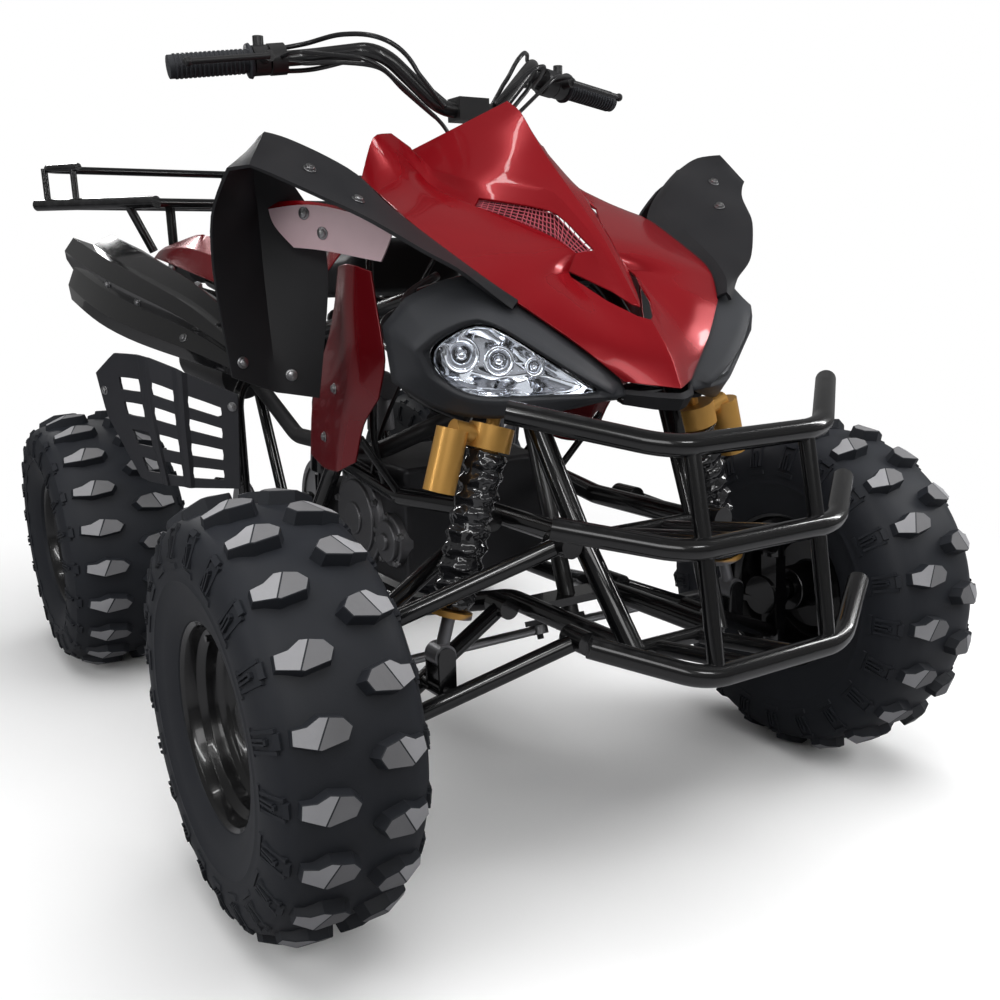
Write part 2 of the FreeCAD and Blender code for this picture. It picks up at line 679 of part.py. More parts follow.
def shock_spring():
    """Coil spring between the two seats, drawn as the sleeve that its rings fill."""
    gap = size("running_gap")
    low = shock_spot(SPRING_LOW_SHARE) + SHOCK_LINE * (size("pivot_sleeve_radius") / 2 + gap)
    top = shock_spot(SPRING_TOP_SHARE) - SHOCK_LINE * gap
    coil = bar("Sizes.spring_radius", low, top)
    room = bar(EYE_CELL + " + Sizes.moving_gap", low, top)
    return on_both_sides("front_springs", bored("front_spring_left", coil, room))


keep_object(shock_body())
keep_object(shock_spring())


# Steering column, bar and controls

STEM_FOOT = frame_point(0, size("stem_foot_y"), size("stem_foot_z"))
STEM_HEAD = frame_point(0, size("stem_head_y"), size("stem_head_z"))
STEM = (STEM_HEAD - STEM_FOOT).normalize()
STEM_BACK = X_AXIS.cross(STEM) * -1 if X_AXIS.cross(STEM).y < 0 else X_AXIS.cross(STEM)


def stem_point(height):
    """Point of the column's axis at a height above the ground."""
    return STEM_FOOT + STEM * ((height - STEM_FOOT.z) / STEM.z)


def pitman_ball(side):
    """Centre of a tie rod's stud on the pitman plate, on the column's foot plane."""
    return STEM_FOOT + STEM_BACK * size("pitman_length") + X_AXIS * (side * size("pitman_half_spread"))


def steering_stem():
    """Column with its pitman plate and studs."""
    column = rod(STEM_FOOT, STEM_HEAD, size("stem_radius"))
    wide = X_AXIS * (size("pitman_half_spread") + size("tie_eye_radius"))
    far = STEM_BACK * (size("pitman_length") + size("tie_eye_radius"))
    narrow = X_AXIS * (size("stem_radius") * 1.2)
    near = STEM_BACK * -size("stem_radius")
    corners = [STEM_FOOT - narrow + near, STEM_FOOT + narrow + near,
               STEM_FOOT + wide + far, STEM_FOOT - wide + far]
    plate = Part.Face(Part.makePolygon(corners + corners[:1]))
    pieces = [plate.extrude(STEM * size("pitman_thickness"))]
    for side in (1, -1):
        ball = pitman_ball(side)
        pieces.append(rod(ball, ball - STEM * (size("tie_eye_height") + size("nut_height") / 2),
                          size("tie_stud_radius")))
    return column.fuse(pieces)


BAR_SHARES = [
    (0.12, 0.290, 1.040), (0.34, 0.312, 1.120), (0.50, 0.425, 1.122), (1.0, 0.452, 1.098),
]
GRIP_START, GRIP_END = body_point(BAR_SHARES[-2]), body_point(BAR_SHARES[-1])
GRIP_LINE = (GRIP_END - GRIP_START).normalize()


def handlebar():
    """Bent bar across the column head, with its clamp."""
    left = [body_point(shares) for shares in BAR_SHARES]
    route = [Vector(-p.x, p.y, p.z) for p in reversed(left)] + left
    bar = tube(route, size("bar_radius"), size("bar_bend_radius"))
    clamp_low = frame_point(-size("clamp_half_width"), size("stem_head_y") - size("stem_radius") * 1.4,
                            size("stem_head_z") + size("stem_radius") * STEM.y
                            + size("running_gap"))
    clamp_high = frame_point(size("clamp_half_width"), size("stem_head_y") + size("stem_radius") * 1.4,
                             left[0].z + size("bar_radius") * 1.6)
    return bar.fuse(block(clamp_low, clamp_high))


def grip():
    """Grip with its inner flange, open towards the bar."""
    start = GRIP_END - GRIP_LINE * size("grip_length")
    step = GRIP_LINE * size("cut_overrun")
    pieces = [
        bar("Sizes.grip_radius", start, GRIP_END + step),
        bar("1.4 * Sizes.grip_radius", start, start + step),
    ]
    bore = bar("Sizes.bar_radius + Sizes.running_gap / 2", start - GRIP_LINE, GRIP_END)
    return on_both_sides("grips", bored("grip_left", merged("grip_sleeve", pieces), bore))


def control_set():
    """Lever on its perch, with the switch box and the mirror's boss beside it."""
    width, front = size("perch_width"), Y_AXIS * -1
    start = GRIP_END - GRIP_LINE * (size("grip_length") + width)
    box_end = start - GRIP_LINE * width * 0.1
    root = start + GRIP_LINE * width / 2
    pivot = root + front * size("lever_reach")
    tip = GRIP_END + front * size("lever_reach") * 0.95 - GRIP_LINE * width / 2
    boss_start = root + Z_AXIS * size("bar_radius")
    boss_top = boss_start + Z_AXIS * size("mirror_boss_height")
    ball = doc.addObject("Part::Sphere", "lever_ball")
    ball.setExpression("Radius", "1.5 * Sizes.lever_radius")
    ball.Placement = FreeCAD.Placement(tip, FreeCAD.Rotation())
    pieces = [
        bar("1.9 * Sizes.bar_radius", start, start + GRIP_LINE * width * 0.9),
        bar("2 * Sizes.bar_radius", box_end - GRIP_LINE * width, box_end),
        bar("1.8 * Sizes.lever_radius", root, pivot),
        bar("Sizes.lever_radius", pivot, tip),
        bar("Sizes.mirror_boss_radius", boss_start, boss_top),
        ball,
    ]
    bar_room = bar_on("Sizes.bar_radius + Sizes.running_gap / 2", "6 * Sizes.perch_width",
                      start, GRIP_LINE)
    thread = bar("Sizes.mirror_thread_radius", boss_top - Z_AXIS * size("mirror_thread_depth"),
                 boss_top + Z_AXIS)
    solid = bored("controls_on_bar", merged("control_solid", pieces), bar_room)
    return on_both_sides("control_levers", bored("controls_left", solid, thread))


keep("steering_stem", steering_stem())
keep("handlebar", handlebar())
keep_object(grip())
keep_object(control_set())


# Tie rods: an eye on the pitman stud, and an open end resting over the knuckle's arm

def tie_rod(label, side):
    """Rod from the pitman stud to the steering arm of one knuckle."""
    gap = size("running_gap")
    eye_middle = pitman_ball(side) - STEM * (gap + size("tie_eye_height") / 2)
    end_base = Vector(side * ARM_BALL.x, ARM_BALL.y, ARM_BALL.z)
    end_base.z += size("knuckle_arm_thickness") / 2 + gap
    end_middle = end_base + Z_AXIS * (size("tie_eye_height") / 2)
    pieces = [
        bar("Sizes.tie_rod_radius", eye_middle, end_middle),
        bar_on("Sizes.tie_eye_radius", "Sizes.tie_eye_height", eye_middle, STEM),
        bar_on("Sizes.tie_eye_radius", "Sizes.tie_eye_height", end_middle, Z_AXIS),
    ]
    bore = bar_on("Sizes.tie_stud_radius + 2 * Sizes.running_gap", "2 * Sizes.tie_eye_height",
                  eye_middle, STEM)
    return bored(label, merged(label + "_solid", pieces), bore)


keep_object(tie_rod("tie_rod_left", 1))
keep_object(tie_rod("tie_rod_right", -1))


# Main frame

MOUNT_STEP = size("pivot_sleeve_radius") + size("frame_tube_radius") + size("running_gap")
LOW_RAIL_X = size("lower_pivot_x") - MOUNT_STEP
HIGH_RAIL_X = size("upper_pivot_x") - MOUNT_STEP
FRAME_FRONT_Y = size("arm_front_y") - size("nose_frame_reach")


def rail_point(x, y, z):
    """Point of a tube's route, each of its three places a named size or a length."""
    return frame_point(*[size(value) if isinstance(value, str) else value for value in (x, y, z)])


def frame_routes():
    """Routes of the left-hand main tubes and the finer brace tubes."""
    front_low = rail_point(LOW_RAIL_X, FRAME_FRONT_Y, "lower_pivot_z")
    front_high = rail_point(HIGH_RAIL_X, "arm_front_y", "upper_pivot_z")
    cradle_front = rail_point("cradle_half_width", "cradle_front_y", "cradle_z")
    cradle_rear = rail_point("cradle_half_width", "cradle_rear_y", "cradle_z")
    seat_foot = rail_point("seat_rail_x", "seat_foot_y", "seat_foot_z")
    main = [
        [front_low, rail_point(LOW_RAIL_X, "nose_rail_end_y", "lower_pivot_z"), cradle_front,
         cradle_rear, seat_foot],
        [front_low, front_high, rail_point("tower_x", "shock_y", "shock_top_z"),
         rail_point("head_rail_x", "head_rail_y", "head_z"),
         rail_point("head_rail_x", "tank_rail_y", "tank_rail_z"),
         rail_point("seat_rail_x", "seat_rail_front_y", "seat_rail_front_z"),
         rail_point("seat_rail_x", "seat_rail_y", "seat_rail_z")],
        [front_high, rail_point(HIGH_RAIL_X, "mid_rail_front_y", "upper_pivot_z"),
         rail_point("cradle_half_width", "mid_rail_y", "upper_pivot_z"),
         rail_point("mid_rail_rear_x", "mid_rail_rear_y", "mid_rail_rear_z"), cradle_rear],
    ]
    brace = [
        [cradle_rear, rail_point("foot_brace_x", "foot_brace_y", "foot_brace_low_z"),
         rail_point("foot_brace_x", "foot_brace_y", "foot_brace_high_z"),
         rail_point("seat_rail_x", "foot_brace_end_y", "foot_brace_end_z")],
        [seat_foot, rail_point("seat_rail_x", "seat_brace_y", "seat_brace_z")],
        [rail_point("cradle_half_width", "peg_y", "cradle_z"), rail_point("peg_x", "peg_y", "peg_z")],
    ]
    return main, brace


def main_frame():
    """Welded tube frame with its cross tubes, column bearings and mounts."""
    main, brace = frame_routes()
    pieces = []
    for route in main:
        piece = tube(route, size("frame_tube_radius"), size("frame_bend_radius"))
        pieces += [piece, mirrored(piece)]
    for route in brace:
        piece = tube(route, size("brace_tube_radius"), size("frame_bend_radius"))
        pieces += [piece, mirrored(piece)]
    crosses = [
        rail_point(LOW_RAIL_X, FRAME_FRONT_Y, "lower_pivot_z"),
        rail_point(HIGH_RAIL_X, "arm_front_y", "upper_pivot_z"),
        rail_point("tower_x", "shock_y", "shock_top_z"),
        rail_point("seat_rail_x", "rear_cross_y", "rear_cross_z"),
        rail_point("seat_rail_x", "swing_pivot_y", "swing_pivot_z"),
    ]
    for end in crosses:
        pieces.append(rod(Vector(-end.x, end.y, end.z), end, size("brace_tube_radius")))
    head = stem_point(size("head_z"))
    pieces.append(rod_on(head, STEM, size("head_tube_length"), size("head_tube_radius")))
    for side in (1, -1):
        rail = rail_point(side * size("head_rail_x"), "head_rail_y", "head_z")
        pieces.append(rod(rail, head, size("brace_tube_radius")))
        shock_top = Vector(side * SHOCK_TOP.x, SHOCK_TOP.y, SHOCK_TOP.z)
        pieces += ear_pair(shock_top, X_AXIS * (side * (size("tower_x") - SHOCK_TOP.x)),
                           size("pivot_sleeve_radius"))
    foot = stem_point(size("lower_pivot_z"))
    foot_half = Vector(0, size("foot_block_depth") / 2, size("foot_block_height") / 2)
    across = X_AXIS * LOW_RAIL_X
    pieces.append(block(foot - across - foot_half, foot + across + foot_half))
    frame = pieces[0].fuse(pieces[1:])
    bore_start = STEM_FOOT - STEM * size("column_bore_overrun")
    bore = rod(bore_start, STEM_HEAD, size("stem_radius") + size("running_gap"))
    return frame.cut(bore)


# Front bumper: three bars on struts, with ends swept back

BUMPER_SHARES = {
    "bumper_top": [(-0.22, -0.316, 0.613), (0.30, -0.318, 0.613), (0.65, -0.199, 0.653)],
    "bumper_mid": [(-0.22, -0.343, 0.500), (0.30, -0.347, 0.500), (0.60, -0.255, 0.528)],
    "bumper_low": [(-0.22, -0.370, 0.357), (0.28, -0.374, 0.357), (0.56, -0.304, 0.399)],
}


def front_bumper():
    """Bumper bars, struts and the stays to the frame."""
    pieces = []
    nodes_x = size("bumper_strut_x")
    heights = []
    for row in BUMPER_SHARES.values():
        points = [body_point(shares) for shares in row]
        heights.append(points[0])
        route = [Vector(-p.x, p.y, p.z) for p in reversed(points[1:])] + points[1:]
        pieces.append(tube(route, size("bumper_tube_radius"), size("bumper_bend_radius")))
    for side in (1, -1):
        spots = [Vector(side * nodes_x, p.y, p.z) for p in heights]
        pieces.append(rod(spots[0], spots[1], size("bumper_strut_radius")))
        pieces.append(rod(spots[1], spots[2], size("bumper_strut_radius")))
        gap = size("brace_tube_radius") + size("running_gap")
        inset = nodes_x * 0.4
        high = frame_point(side * inset, size("arm_front_y") - gap, size("upper_pivot_z"))
        low = frame_point(side * inset, FRAME_FRONT_Y - gap, size("lower_pivot_z"))
        for stay, spot in ((high, spots[1]), (low, spots[2])):
            bar_end = Vector(side * inset, spot.y, spot.z)
            pieces.append(rod(stay, bar_end, size("bumper_strut_radius")))
    return pieces[0].fuse(pieces[1:])


keep("front_bumper", front_bumper())


# Engine, exhaust and chain drive

def engine():
    """Crankcase with a finned cylinder leaning forward and a side cover."""
    half = size("cradle_half_width") - size("frame_tube_radius") - size("running_gap")
    waist_y = size("drive_sprocket_y") - size("drive_sprocket_radius") - size("chain_depth") * 1.5
    inner = size("chain_x") - size("chain_width")
    case = block(frame_point(-half, size("engine_front_y"), size("engine_base_z")),
                 frame_point(half, waist_y, size("engine_top_z")))
    gearbox = block(frame_point(-half, size("engine_front_y") + size("cylinder_half"),
                                size("engine_base_z")),
                    frame_point(inner, size("engine_rear_y"),
                                size("engine_top_z") - size("gearbox_drop")))
    case = case.fuse(gearbox).removeSplitter()
    case = case.makeFillet(size("engine_edge_radius") / 2, case.Edges)
    base = frame_point(0, size("engine_front_y") + size("cylinder_half"),
                       size("engine_top_z") - size("barrel_sink"))
    lean = Vector(0, -0.25, 1).normalize()
    barrel = rod(base, base + lean * size("cylinder_height"), size("cylinder_half") * 0.8)
    pieces = [barrel]
    for k in range(FIN_COUNT):
        height = size("cylinder_height") * (0.35 + 0.6 * k / (FIN_COUNT - 1))
        pieces.append(rod(base + lean * height, base + lean * (height + size("fin_thickness")),
                          size("cylinder_half")))
    return case.fuse(pieces)


FIN_COUNT = 6
keep("engine_block", engine())


def exhaust():
    """Header pipe along the rider's right-hand side to the silencer."""
    route = [body_point(shares) for shares in EXHAUST_SHARES]
    pipe = tube(route, size("exhaust_pipe_radius"), size("frame_bend_radius"))
    can = rod(*[body_point(shares) for shares in SILENCER_SHARES], size("silencer_radius"))
    return can.fuse(pipe)


EXHAUST_SHARES = [
    (-0.15, 0.240, 0.590), (-0.30, 0.235, 0.575), (-0.455, 0.300, 0.535),
    (-0.465, 0.600, 0.530), (-0.49, 0.760, 0.615), (-0.49, 0.830, 0.620),
]
SILENCER_SHARES = [(-0.49, 0.825, 0.620), (-0.49, 1.095, 0.640)]
keep("exhaust", exhaust())


def swingarm():
    """Two arms from the frame's rear cross tube to the axle carrier."""
    start_y = size("swing_pivot_y") + size("brace_tube_radius") + 3 * size("running_gap")
    end_y = size("wheelbase") - size("swing_arm_inset")
    cross_x = size("swing_cross_x")
    pieces = [bar_on("Sizes.carrier_radius", "2 * Sizes.carrier_half_length", AXLE_LINE, X_AXIS)]
    for side in (1, -1):
        start = frame_point(side * size("swing_arm_x"), start_y, size("swing_pivot_z"))
        end = frame_point(side * size("carrier_half_length") * 0.75, end_y, REAR_AXLE_Z)
        pieces.append(bar("Sizes.frame_tube_radius", start, end))
    pieces.append(bar("Sizes.frame_tube_radius", rail_point(-cross_x, "swing_cross_y", "swing_cross_z"),
                      rail_point(cross_x, "swing_cross_y", "swing_cross_z")))
    pieces.append(bar("Sizes.frame_tube_radius", rail_point(0, "swing_cross_y", "swing_cross_z"),
                      rail_point(0, "swing_cross_y", "swing_post_z")))
    bore = bar_on("Sizes.axle_radius + Sizes.running_gap", "4 * Sizes.carrier_half_length",
                  AXLE_LINE, X_AXIS)
    return bored("swingarm", merged("swingarm_solid", pieces), bore)


keep_object(swingarm())


def rear_shock():
    """Single spring leg between the arm and the seat rails."""
    low = rail_point(0, "swing_cross_y", "swing_post_z") + Z_AXIS * size("running_gap")
    top = rail_point(0, "rear_shock_y", "rear_shock_z")
    way = top - low
    head_length = "2 * (Sizes.seat_rail_x - Sizes.frame_tube_radius - Sizes.moving_gap / 2)"
    pieces = [
        bar("Sizes.frame_tube_radius", low, low + Z_AXIS * size("rear_shock_foot")),
        bar("1.15 * Sizes.spring_radius", low + way * 0.2, low + way * 0.8),
        bar("1.5 * Sizes.shock_rod_radius", low + way * 0.1, top),
        bar_on("Sizes.frame_tube_radius", head_length, top, X_AXIS),
    ]
    return merged("rear_shock", pieces)


keep_object(rear_shock())


def drive_chain():
    """Chain as one closed loop round the two chain wheels."""
    gap = size("moving_gap")
    x = size("chain_x")
    width = size("chain_width")
    front = frame_point(x, size("drive_sprocket_y"), size("drive_sprocket_z"))
    rear = Vector(x, AXLE_LINE.y, AXLE_LINE.z)
    loops = []
    for grow in (size("chain_depth"), 0):
        big = size("sprocket_radius") + gap + grow
        small = size("drive_sprocket_radius") + gap + grow
        loops.append(belt_face(rear, big, front, small, x - width / 2))
    return loops[0].cut(loops[1]).extrude(X_AXIS * width)


def belt_face(rear, big, front, small, x):
    """Face inside the outline of a belt round two circles, across the X axis."""
    run = Vector(0, front.y - rear.y, front.z - rear.z)
    distance = run.Length
    along = run.normalize()
    up = Vector(0, -along.z, along.y)
    lean = math.asin((big - small) / distance)
    edges = []
    centre_r, centre_f = Vector(x, rear.y, rear.z), Vector(x, front.y, front.z)
    spots = {}
    for sign in (1, -1):
        way = along * math.sin(lean) + up * (sign * math.cos(lean))
        spots[sign] = (centre_r + way * big, centre_f + way * small)
    edges.append(Part.LineSegment(*spots[1]).toShape())
    edges.append(Part.Arc(spots[1][1], centre_f + along * small, spots[-1][1]).toShape())
    edges.append(Part.LineSegment(spots[-1][1], spots[-1][0]).toShape())
    edges.append(Part.Arc(spots[-1][0], centre_r - along * big, spots[1][0]).toShape())
    return Part.Face(Part.Wire(edges))


keep("drive_chain", drive_chain())


# Seat and body panels; the left side is written and the right side mirrored

SEAT_SHARES = [
    [(0.26, 0.505, 0.775), (0.28, 0.505, 0.83), (0.16, 0.505, 0.868),
     (-0.16, 0.505, 0.868), (-0.28, 0.505, 0.83), (-0.26, 0.505, 0.775)],
    [(0.30, 0.66, 0.765), (0.33, 0.66, 0.81), (0.2, 0.66, 0.848),
     (-0.2, 0.66, 0.848), (-0.33, 0.66, 0.81), (-0.30, 0.66, 0.765)],
    [(0.36, 0.86, 0.79), (0.39, 0.86, 0.835), (0.25, 0.86, 0.873),
     (-0.25, 0.86, 0.873), (-0.39, 0.86, 0.835), (-0.36, 0.86, 0.79)],
    [(0.38, 1.00, 0.83), (0.42, 1.00, 0.88), (0.28, 1.00, 0.922),
     (-0.28, 1.00, 0.922), (-0.42, 1.00, 0.88), (-0.38, 1.00, 0.83)],
    [(0.32, 1.085, 0.86), (0.36, 1.085, 0.89), (0.24, 1.085, 0.93),
     (-0.24, 1.085, 0.93), (-0.36, 1.085, 0.89), (-0.32, 1.085, 0.86)],
]
NOSE_SHARES = [
    [(0.4525, 0.300, 0.941), (0.385, 0.312, 1.004), (0.30, 0.316, 1.007),
     (0.255, 0.292, 0.986), (0.2375, 0.300, 0.983), (0, 0.183, 1.041)],
    [(0.4625, 0.228, 0.910), (0.355, 0.240, 0.942), (0.275, 0.228, 0.925),
     (0.2525, 0.235, 0.938), (0.235, 0.240, 0.951), (0, 0.150, 1.024)],
    [(0.5275, 0.127, 0.883), (0.4, 0.115, 0.888), (0.2625, 0.11, 0.892),
     (0.2375, 0.115, 0.903), (0.22, 0.147, 0.931), (0, 0.115, 0.985)],
    [(0.5175, 0.05, 0.845), (0.35, 0.045, 0.858), (0.1675, 0.051, 0.868),
     (0.135, 0.057, 0.89), (0.13, 0.088, 0.92), (0, 0.08, 0.95)],
    [(0.5025, -0.017, 0.812), (0.3125, -0.01, 0.832), (0.1125, 0, 0.845),
     (0.0775, 0.022, 0.88), (0.0575, 0.04, 0.911), (0, 0.035, 0.912)],
    [(0.475, -0.045, 0.797), (0.2875, -0.038, 0.815), (0.085, -0.026, 0.826),
     (0.0475, -0.045, 0.829), (0.025, -0.045, 0.838), (0, -0.045, 0.84)],
    [(0.4525, -0.061, 0.784), (0.28, -0.06, 0.796), (0.125, -0.032, 0.803),
     (0.05, -0.085, 0.776), (0.02, -0.108, 0.761), (0, -0.117, 0.757)],
    [(0.395, -0.093, 0.76), (0.25, -0.095, 0.77), (0.135, -0.042, 0.796),
     (0.09, -0.094, 0.766), (0.035, -0.128, 0.747), (0, -0.138, 0.742)],
    [(0.275, -0.13, 0.718), (0.195, -0.135, 0.722), (0.125, -0.145, 0.722),
     (0.0625, -0.16, 0.712), (0.02, -0.172, 0.703), (0, -0.176, 0.701)],
    [(0.1425, -0.156, 0.669), (0.1175, -0.166, 0.667), (0.0875, -0.175, 0.665),
     (0.05, -0.185, 0.663), (0.02, -0.193, 0.661), (0, -0.197, 0.66)],
]
TANK_SHARES = [
    [(0.47, 0.330, 0.860), (0.41, 0.335, 0.930), (0.275, 0.335, 0.950), (0, 0.338, 0.935)],
    [(0.50, 0.400, 0.810), (0.43, 0.405, 0.885), (0.28, 0.420, 0.920), (0, 0.430, 0.925)],
    [(0.47, 0.480, 0.790), (0.39, 0.485, 0.840), (0.24, 0.490, 0.875), (0, 0.498, 0.885)],
]
FENDER_SHARES = [
    [(0.415, -0.076, 0.758), (0.4325, -0.092, 0.767), (0.45, -0.091, 0.759)],
    [(0.45, -0.05, 0.771), (0.4875, -0.072, 0.786), (0.5275, -0.07, 0.785)],
    [(0.495, -0.012, 0.798), (0.5325, -0.026, 0.815), (0.605, -0.066, 0.807)],
    [(0.5125, 0.052, 0.831), (0.56, 0.042, 0.849), (0.67, -0.046, 0.823)],
    [(0.525, 0.13, 0.868), (0.6, 0.122, 0.892), (0.7975, 0.005, 0.866)],
    [(0.635, 0.148, 0.91), (0.67, 0.134, 0.928), (0.855, 0.042, 0.884)],
    [(0.75, 0.17, 0.938), (0.785, 0.157, 0.955), (0.925, 0.085, 0.906)],
    [(0.845, 0.196, 0.952), (0.88, 0.166, 0.971), (0.995, 0.112, 0.924)],
    [(0.88, 0.212, 0.955), (0.96, 0.15, 0.974), (1.0375, 0.126, 0.933)],
    [(0.8, 0.225, 0.925), (0.9625, 0.2, 0.958), (1.07, 0.165, 0.932)],
    [(0.685, 0.236, 0.868), (0.88, 0.275, 0.89), (1.08, 0.24, 0.885)],
    [(0.68, 0.226, 0.8), (0.88, 0.272, 0.8), (1.075, 0.252, 0.8)],
    [(0.73, 0.244, 0.634), (0.88, 0.252, 0.646), (1.0425, 0.247, 0.672)],
]
LINER_SHARES = [
    [(0.84, 0.240, 0.890), (0.75, 0.190, 0.890), (0.67, 0.140, 0.880)],
    [(0.85, 0.245, 0.862), (0.75, 0.195, 0.862), (0.63, 0.120, 0.850)],
    [(0.81, 0.235, 0.842), (0.73, 0.180, 0.828), (0.62, 0.110, 0.815)],
]
SHROUD_SHARES = [
    [(0.61, 0.24, 0.814), (0.615, 0.205, 0.812), (0.595, 0.176, 0.811)],
    [(0.595, 0.262, 0.756), (0.615, 0.215, 0.75), (0.595, 0.165, 0.745)],
    [(0.585, 0.31, 0.697), (0.605, 0.24, 0.69), (0.585, 0.15, 0.678)],
    [(0.565, 0.425, 0.528), (0.585, 0.33, 0.52), (0.575, 0.25, 0.544)],
]
SIDE_PANEL_SHARES = [
    [(0.42, 0.700, 0.840), (0.46, 0.850, 0.858), (0.49, 1.000, 0.895), (0.52, 1.130, 0.880),
     (0.54, 1.200, 0.872)],
    [(0.52, 0.690, 0.770), (0.57, 0.850, 0.795), (0.60, 1.000, 0.822), (0.61, 1.130, 0.842),
     (0.60, 1.205, 0.850)],
]
REAR_FENDER_SHARES = [
    [(0.60, 0.660, 0.700), (0.66, 0.640, 0.690), (0.71, 0.615, 0.640)],
    [(0.62, 0.750, 0.765), (0.75, 0.750, 0.755), (0.81, 0.745, 0.665)],
    [(0.64, 0.900, 0.800), (0.86, 0.900, 0.805), (0.93, 0.895, 0.690)],
    [(0.65, 1.050, 0.832), (0.96, 1.050, 0.848), (1.01, 1.045, 0.725)],
    [(0.66, 1.210, 0.866), (1.01, 1.215, 0.893), (1.045, 1.215, 0.770)],
]
TAIL_SHARES = [
    [(0.50, 1.110, 0.835), (0.25, 1.110, 0.825), (0, 1.110, 0.820)],
    [(0.52, 1.215, 0.850), (0.25, 1.225, 0.845), (0, 1.230, 0.842)],
    [(0.50, 1.240, 0.800), (0.25, 1.252, 0.795), (0, 1.256, 0.790)],
]
HOUSING_SHARES = [
    (0.73, 0.03, 0.735), (0.675, -0.01, 0.762), (0.6, -0.042, 0.776),
    (0.5375, -0.06, 0.768), (0.47, -0.074, 0.76), (0.38, -0.097, 0.74),
    (0.275, -0.128, 0.708), (0.15, -0.153, 0.66), (0.325, -0.108, 0.64),
    (0.475, -0.068, 0.634), (0.6, -0.025, 0.636), (0.705, 0.02, 0.67),
]
LENS_SHARES = [
    (0.685, -0.037, 0.713), (0.645, -0.054, 0.728), (0.585, -0.073, 0.741),
    (0.535, -0.093, 0.742), (0.4925, -0.11, 0.733), (0.4175, -0.133, 0.708),
    (0.315, -0.15, 0.678), (0.24, -0.152, 0.664), (0.35, -0.118, 0.658),
    (0.46, -0.085, 0.657), (0.555, -0.052, 0.657), (0.64, -0.036, 0.683),
]
GUARD_SHARES = [
    [(1.12, 0.850, 0.648), (1.04, 0.760, 0.662), (0.88, 0.690, 0.640), (0.72, 0.640, 0.612)],
    [(1.10, 0.850, 0.560), (1.03, 0.765, 0.560), (0.88, 0.700, 0.545), (0.72, 0.650, 0.525)],
    [(1.02, 0.760, 0.450), (0.97, 0.745, 0.445), (0.88, 0.715, 0.440), (0.72, 0.665, 0.440)],
]

GUARD_ACROSS_SHARES = (0.0, 0.22, 0.40, 0.50, 0.66, 0.76, 0.92, 1.0)
GUARD_DOWN_SHARES = (0.0, 0.20, 0.31, 0.41, 0.52, 0.62, 0.73, 0.82, 0.92, 1.0)
PANEL = size("panel_thickness")
NOSE_STEP = Vector(0, 0.6, -1) * PANEL
keep("seat", section_loft(SEAT_SHARES))


# The nose is open at its air slot and at the two windows of the grille meshes

NOSE_COLUMNS = 2 * len(NOSE_SHARES[0]) - 2
SLOT_ROW, SLOT_COLUMNS = 6, (2, 3, 4)
WINDOW_ROWS, WINDOW_COLUMN = (2, 3, 4), 2
nose_open = []
for column in SLOT_COLUMNS:
    nose_open += [(SLOT_ROW, column), (SLOT_ROW, NOSE_COLUMNS - 1 - column)]
for row in WINDOW_ROWS:
    nose_open += [(row, WINDOW_COLUMN), (row, NOSE_COLUMNS - 1 - WINDOW_COLUMN)]
keep("nose_cover", pressed_panel(across_middle(NOSE_SHARES), NOSE_STEP, open_cells=nose_open))


def mesh_insert():
    """Left-hand mesh of one grille window, sunk behind the window's edge."""
    sunk = NOSE_STEP * MESH_SINK_SHARE
    lower = [body_point(NOSE_SHARES[row][WINDOW_COLUMN]) + sunk for row in (2, 3, 4, 5)]
    upper = [body_point(NOSE_SHARES[row][WINDOW_COLUMN + 1]) + sunk for row in (2, 3, 4, 5)]
    grid = []
    for row in range(MESH_ROWS + 1):
        place = row * (len(lower) - 1) / MESH_ROWS
        step = min(int(place), len(lower) - 2)
        part = place - step
        low = lower[step] + (lower[step + 1] - lower[step]) * part
        high = upper[step] + (upper[step + 1] - upper[step]) * part
        count = 2 * MESH_COLUMNS
        grid.append([low + (high - low) * (k / count) for k in range(count + 1)])
    open_cells = [(r, c) for r in range(1, MESH_ROWS - 1) for c in range(1, 2 * MESH_COLUMNS - 1)
                  if (r % 2, c % 2) == (1, 1)]
    inner = [[point + NOSE_STEP * 0.5 for point in line] for line in grid]
    return shell_panel(grid, inner, open_cells=open_cells)


MESH_ROWS, MESH_COLUMNS, MESH_SINK_SHARE = 27, 3, 1.15
keep("nose_grille", pair(mesh_insert()))
keep("tank_cover", body_panel(across_middle(TANK_SHARES), PANEL))
keep("front_fender_left", body_panel(FENDER_SHARES, PANEL))
keep("front_fender_right", mirrored(body_panel(FENDER_SHARES, PANEL)))
keep("fender_liners", pair(body_panel(LINER_SHARES, PANEL)))
side_shapes = [body_panel(SHROUD_SHARES, PANEL), body_panel(SIDE_PANEL_SHARES, PANEL)]
keep("side_panels", Part.makeCompound(side_shapes + [mirrored(shape) for shape in side_shapes]))
tail_shapes = [body_panel(REAR_FENDER_SHARES, PANEL), mirrored(body_panel(REAR_FENDER_SHARES, PANEL))]
tail_shapes.append(body_panel(across_middle(TAIL_SHARES), PANEL))
keep("rear_fenders", Part.makeCompound(tail_shapes))


def between(grid, down, across):
    """Point of a grid by shares of the way down and across it."""
    i, j = down * (len(grid) - 1), across * (len(grid[0]) - 1)
    i0, j0 = min(int(i), len(grid) - 2), min(int(j), len(grid[0]) - 2)
    upper = grid[i0][j0] + (grid[i0][j0 + 1] - grid[i0][j0]) * (j - j0)
    lower = grid[i0 + 1][j0] + (grid[i0 + 1][j0 + 1] - grid[i0 + 1][j0]) * (j - j0)
    return upper + (lower - upper) * (i - i0)


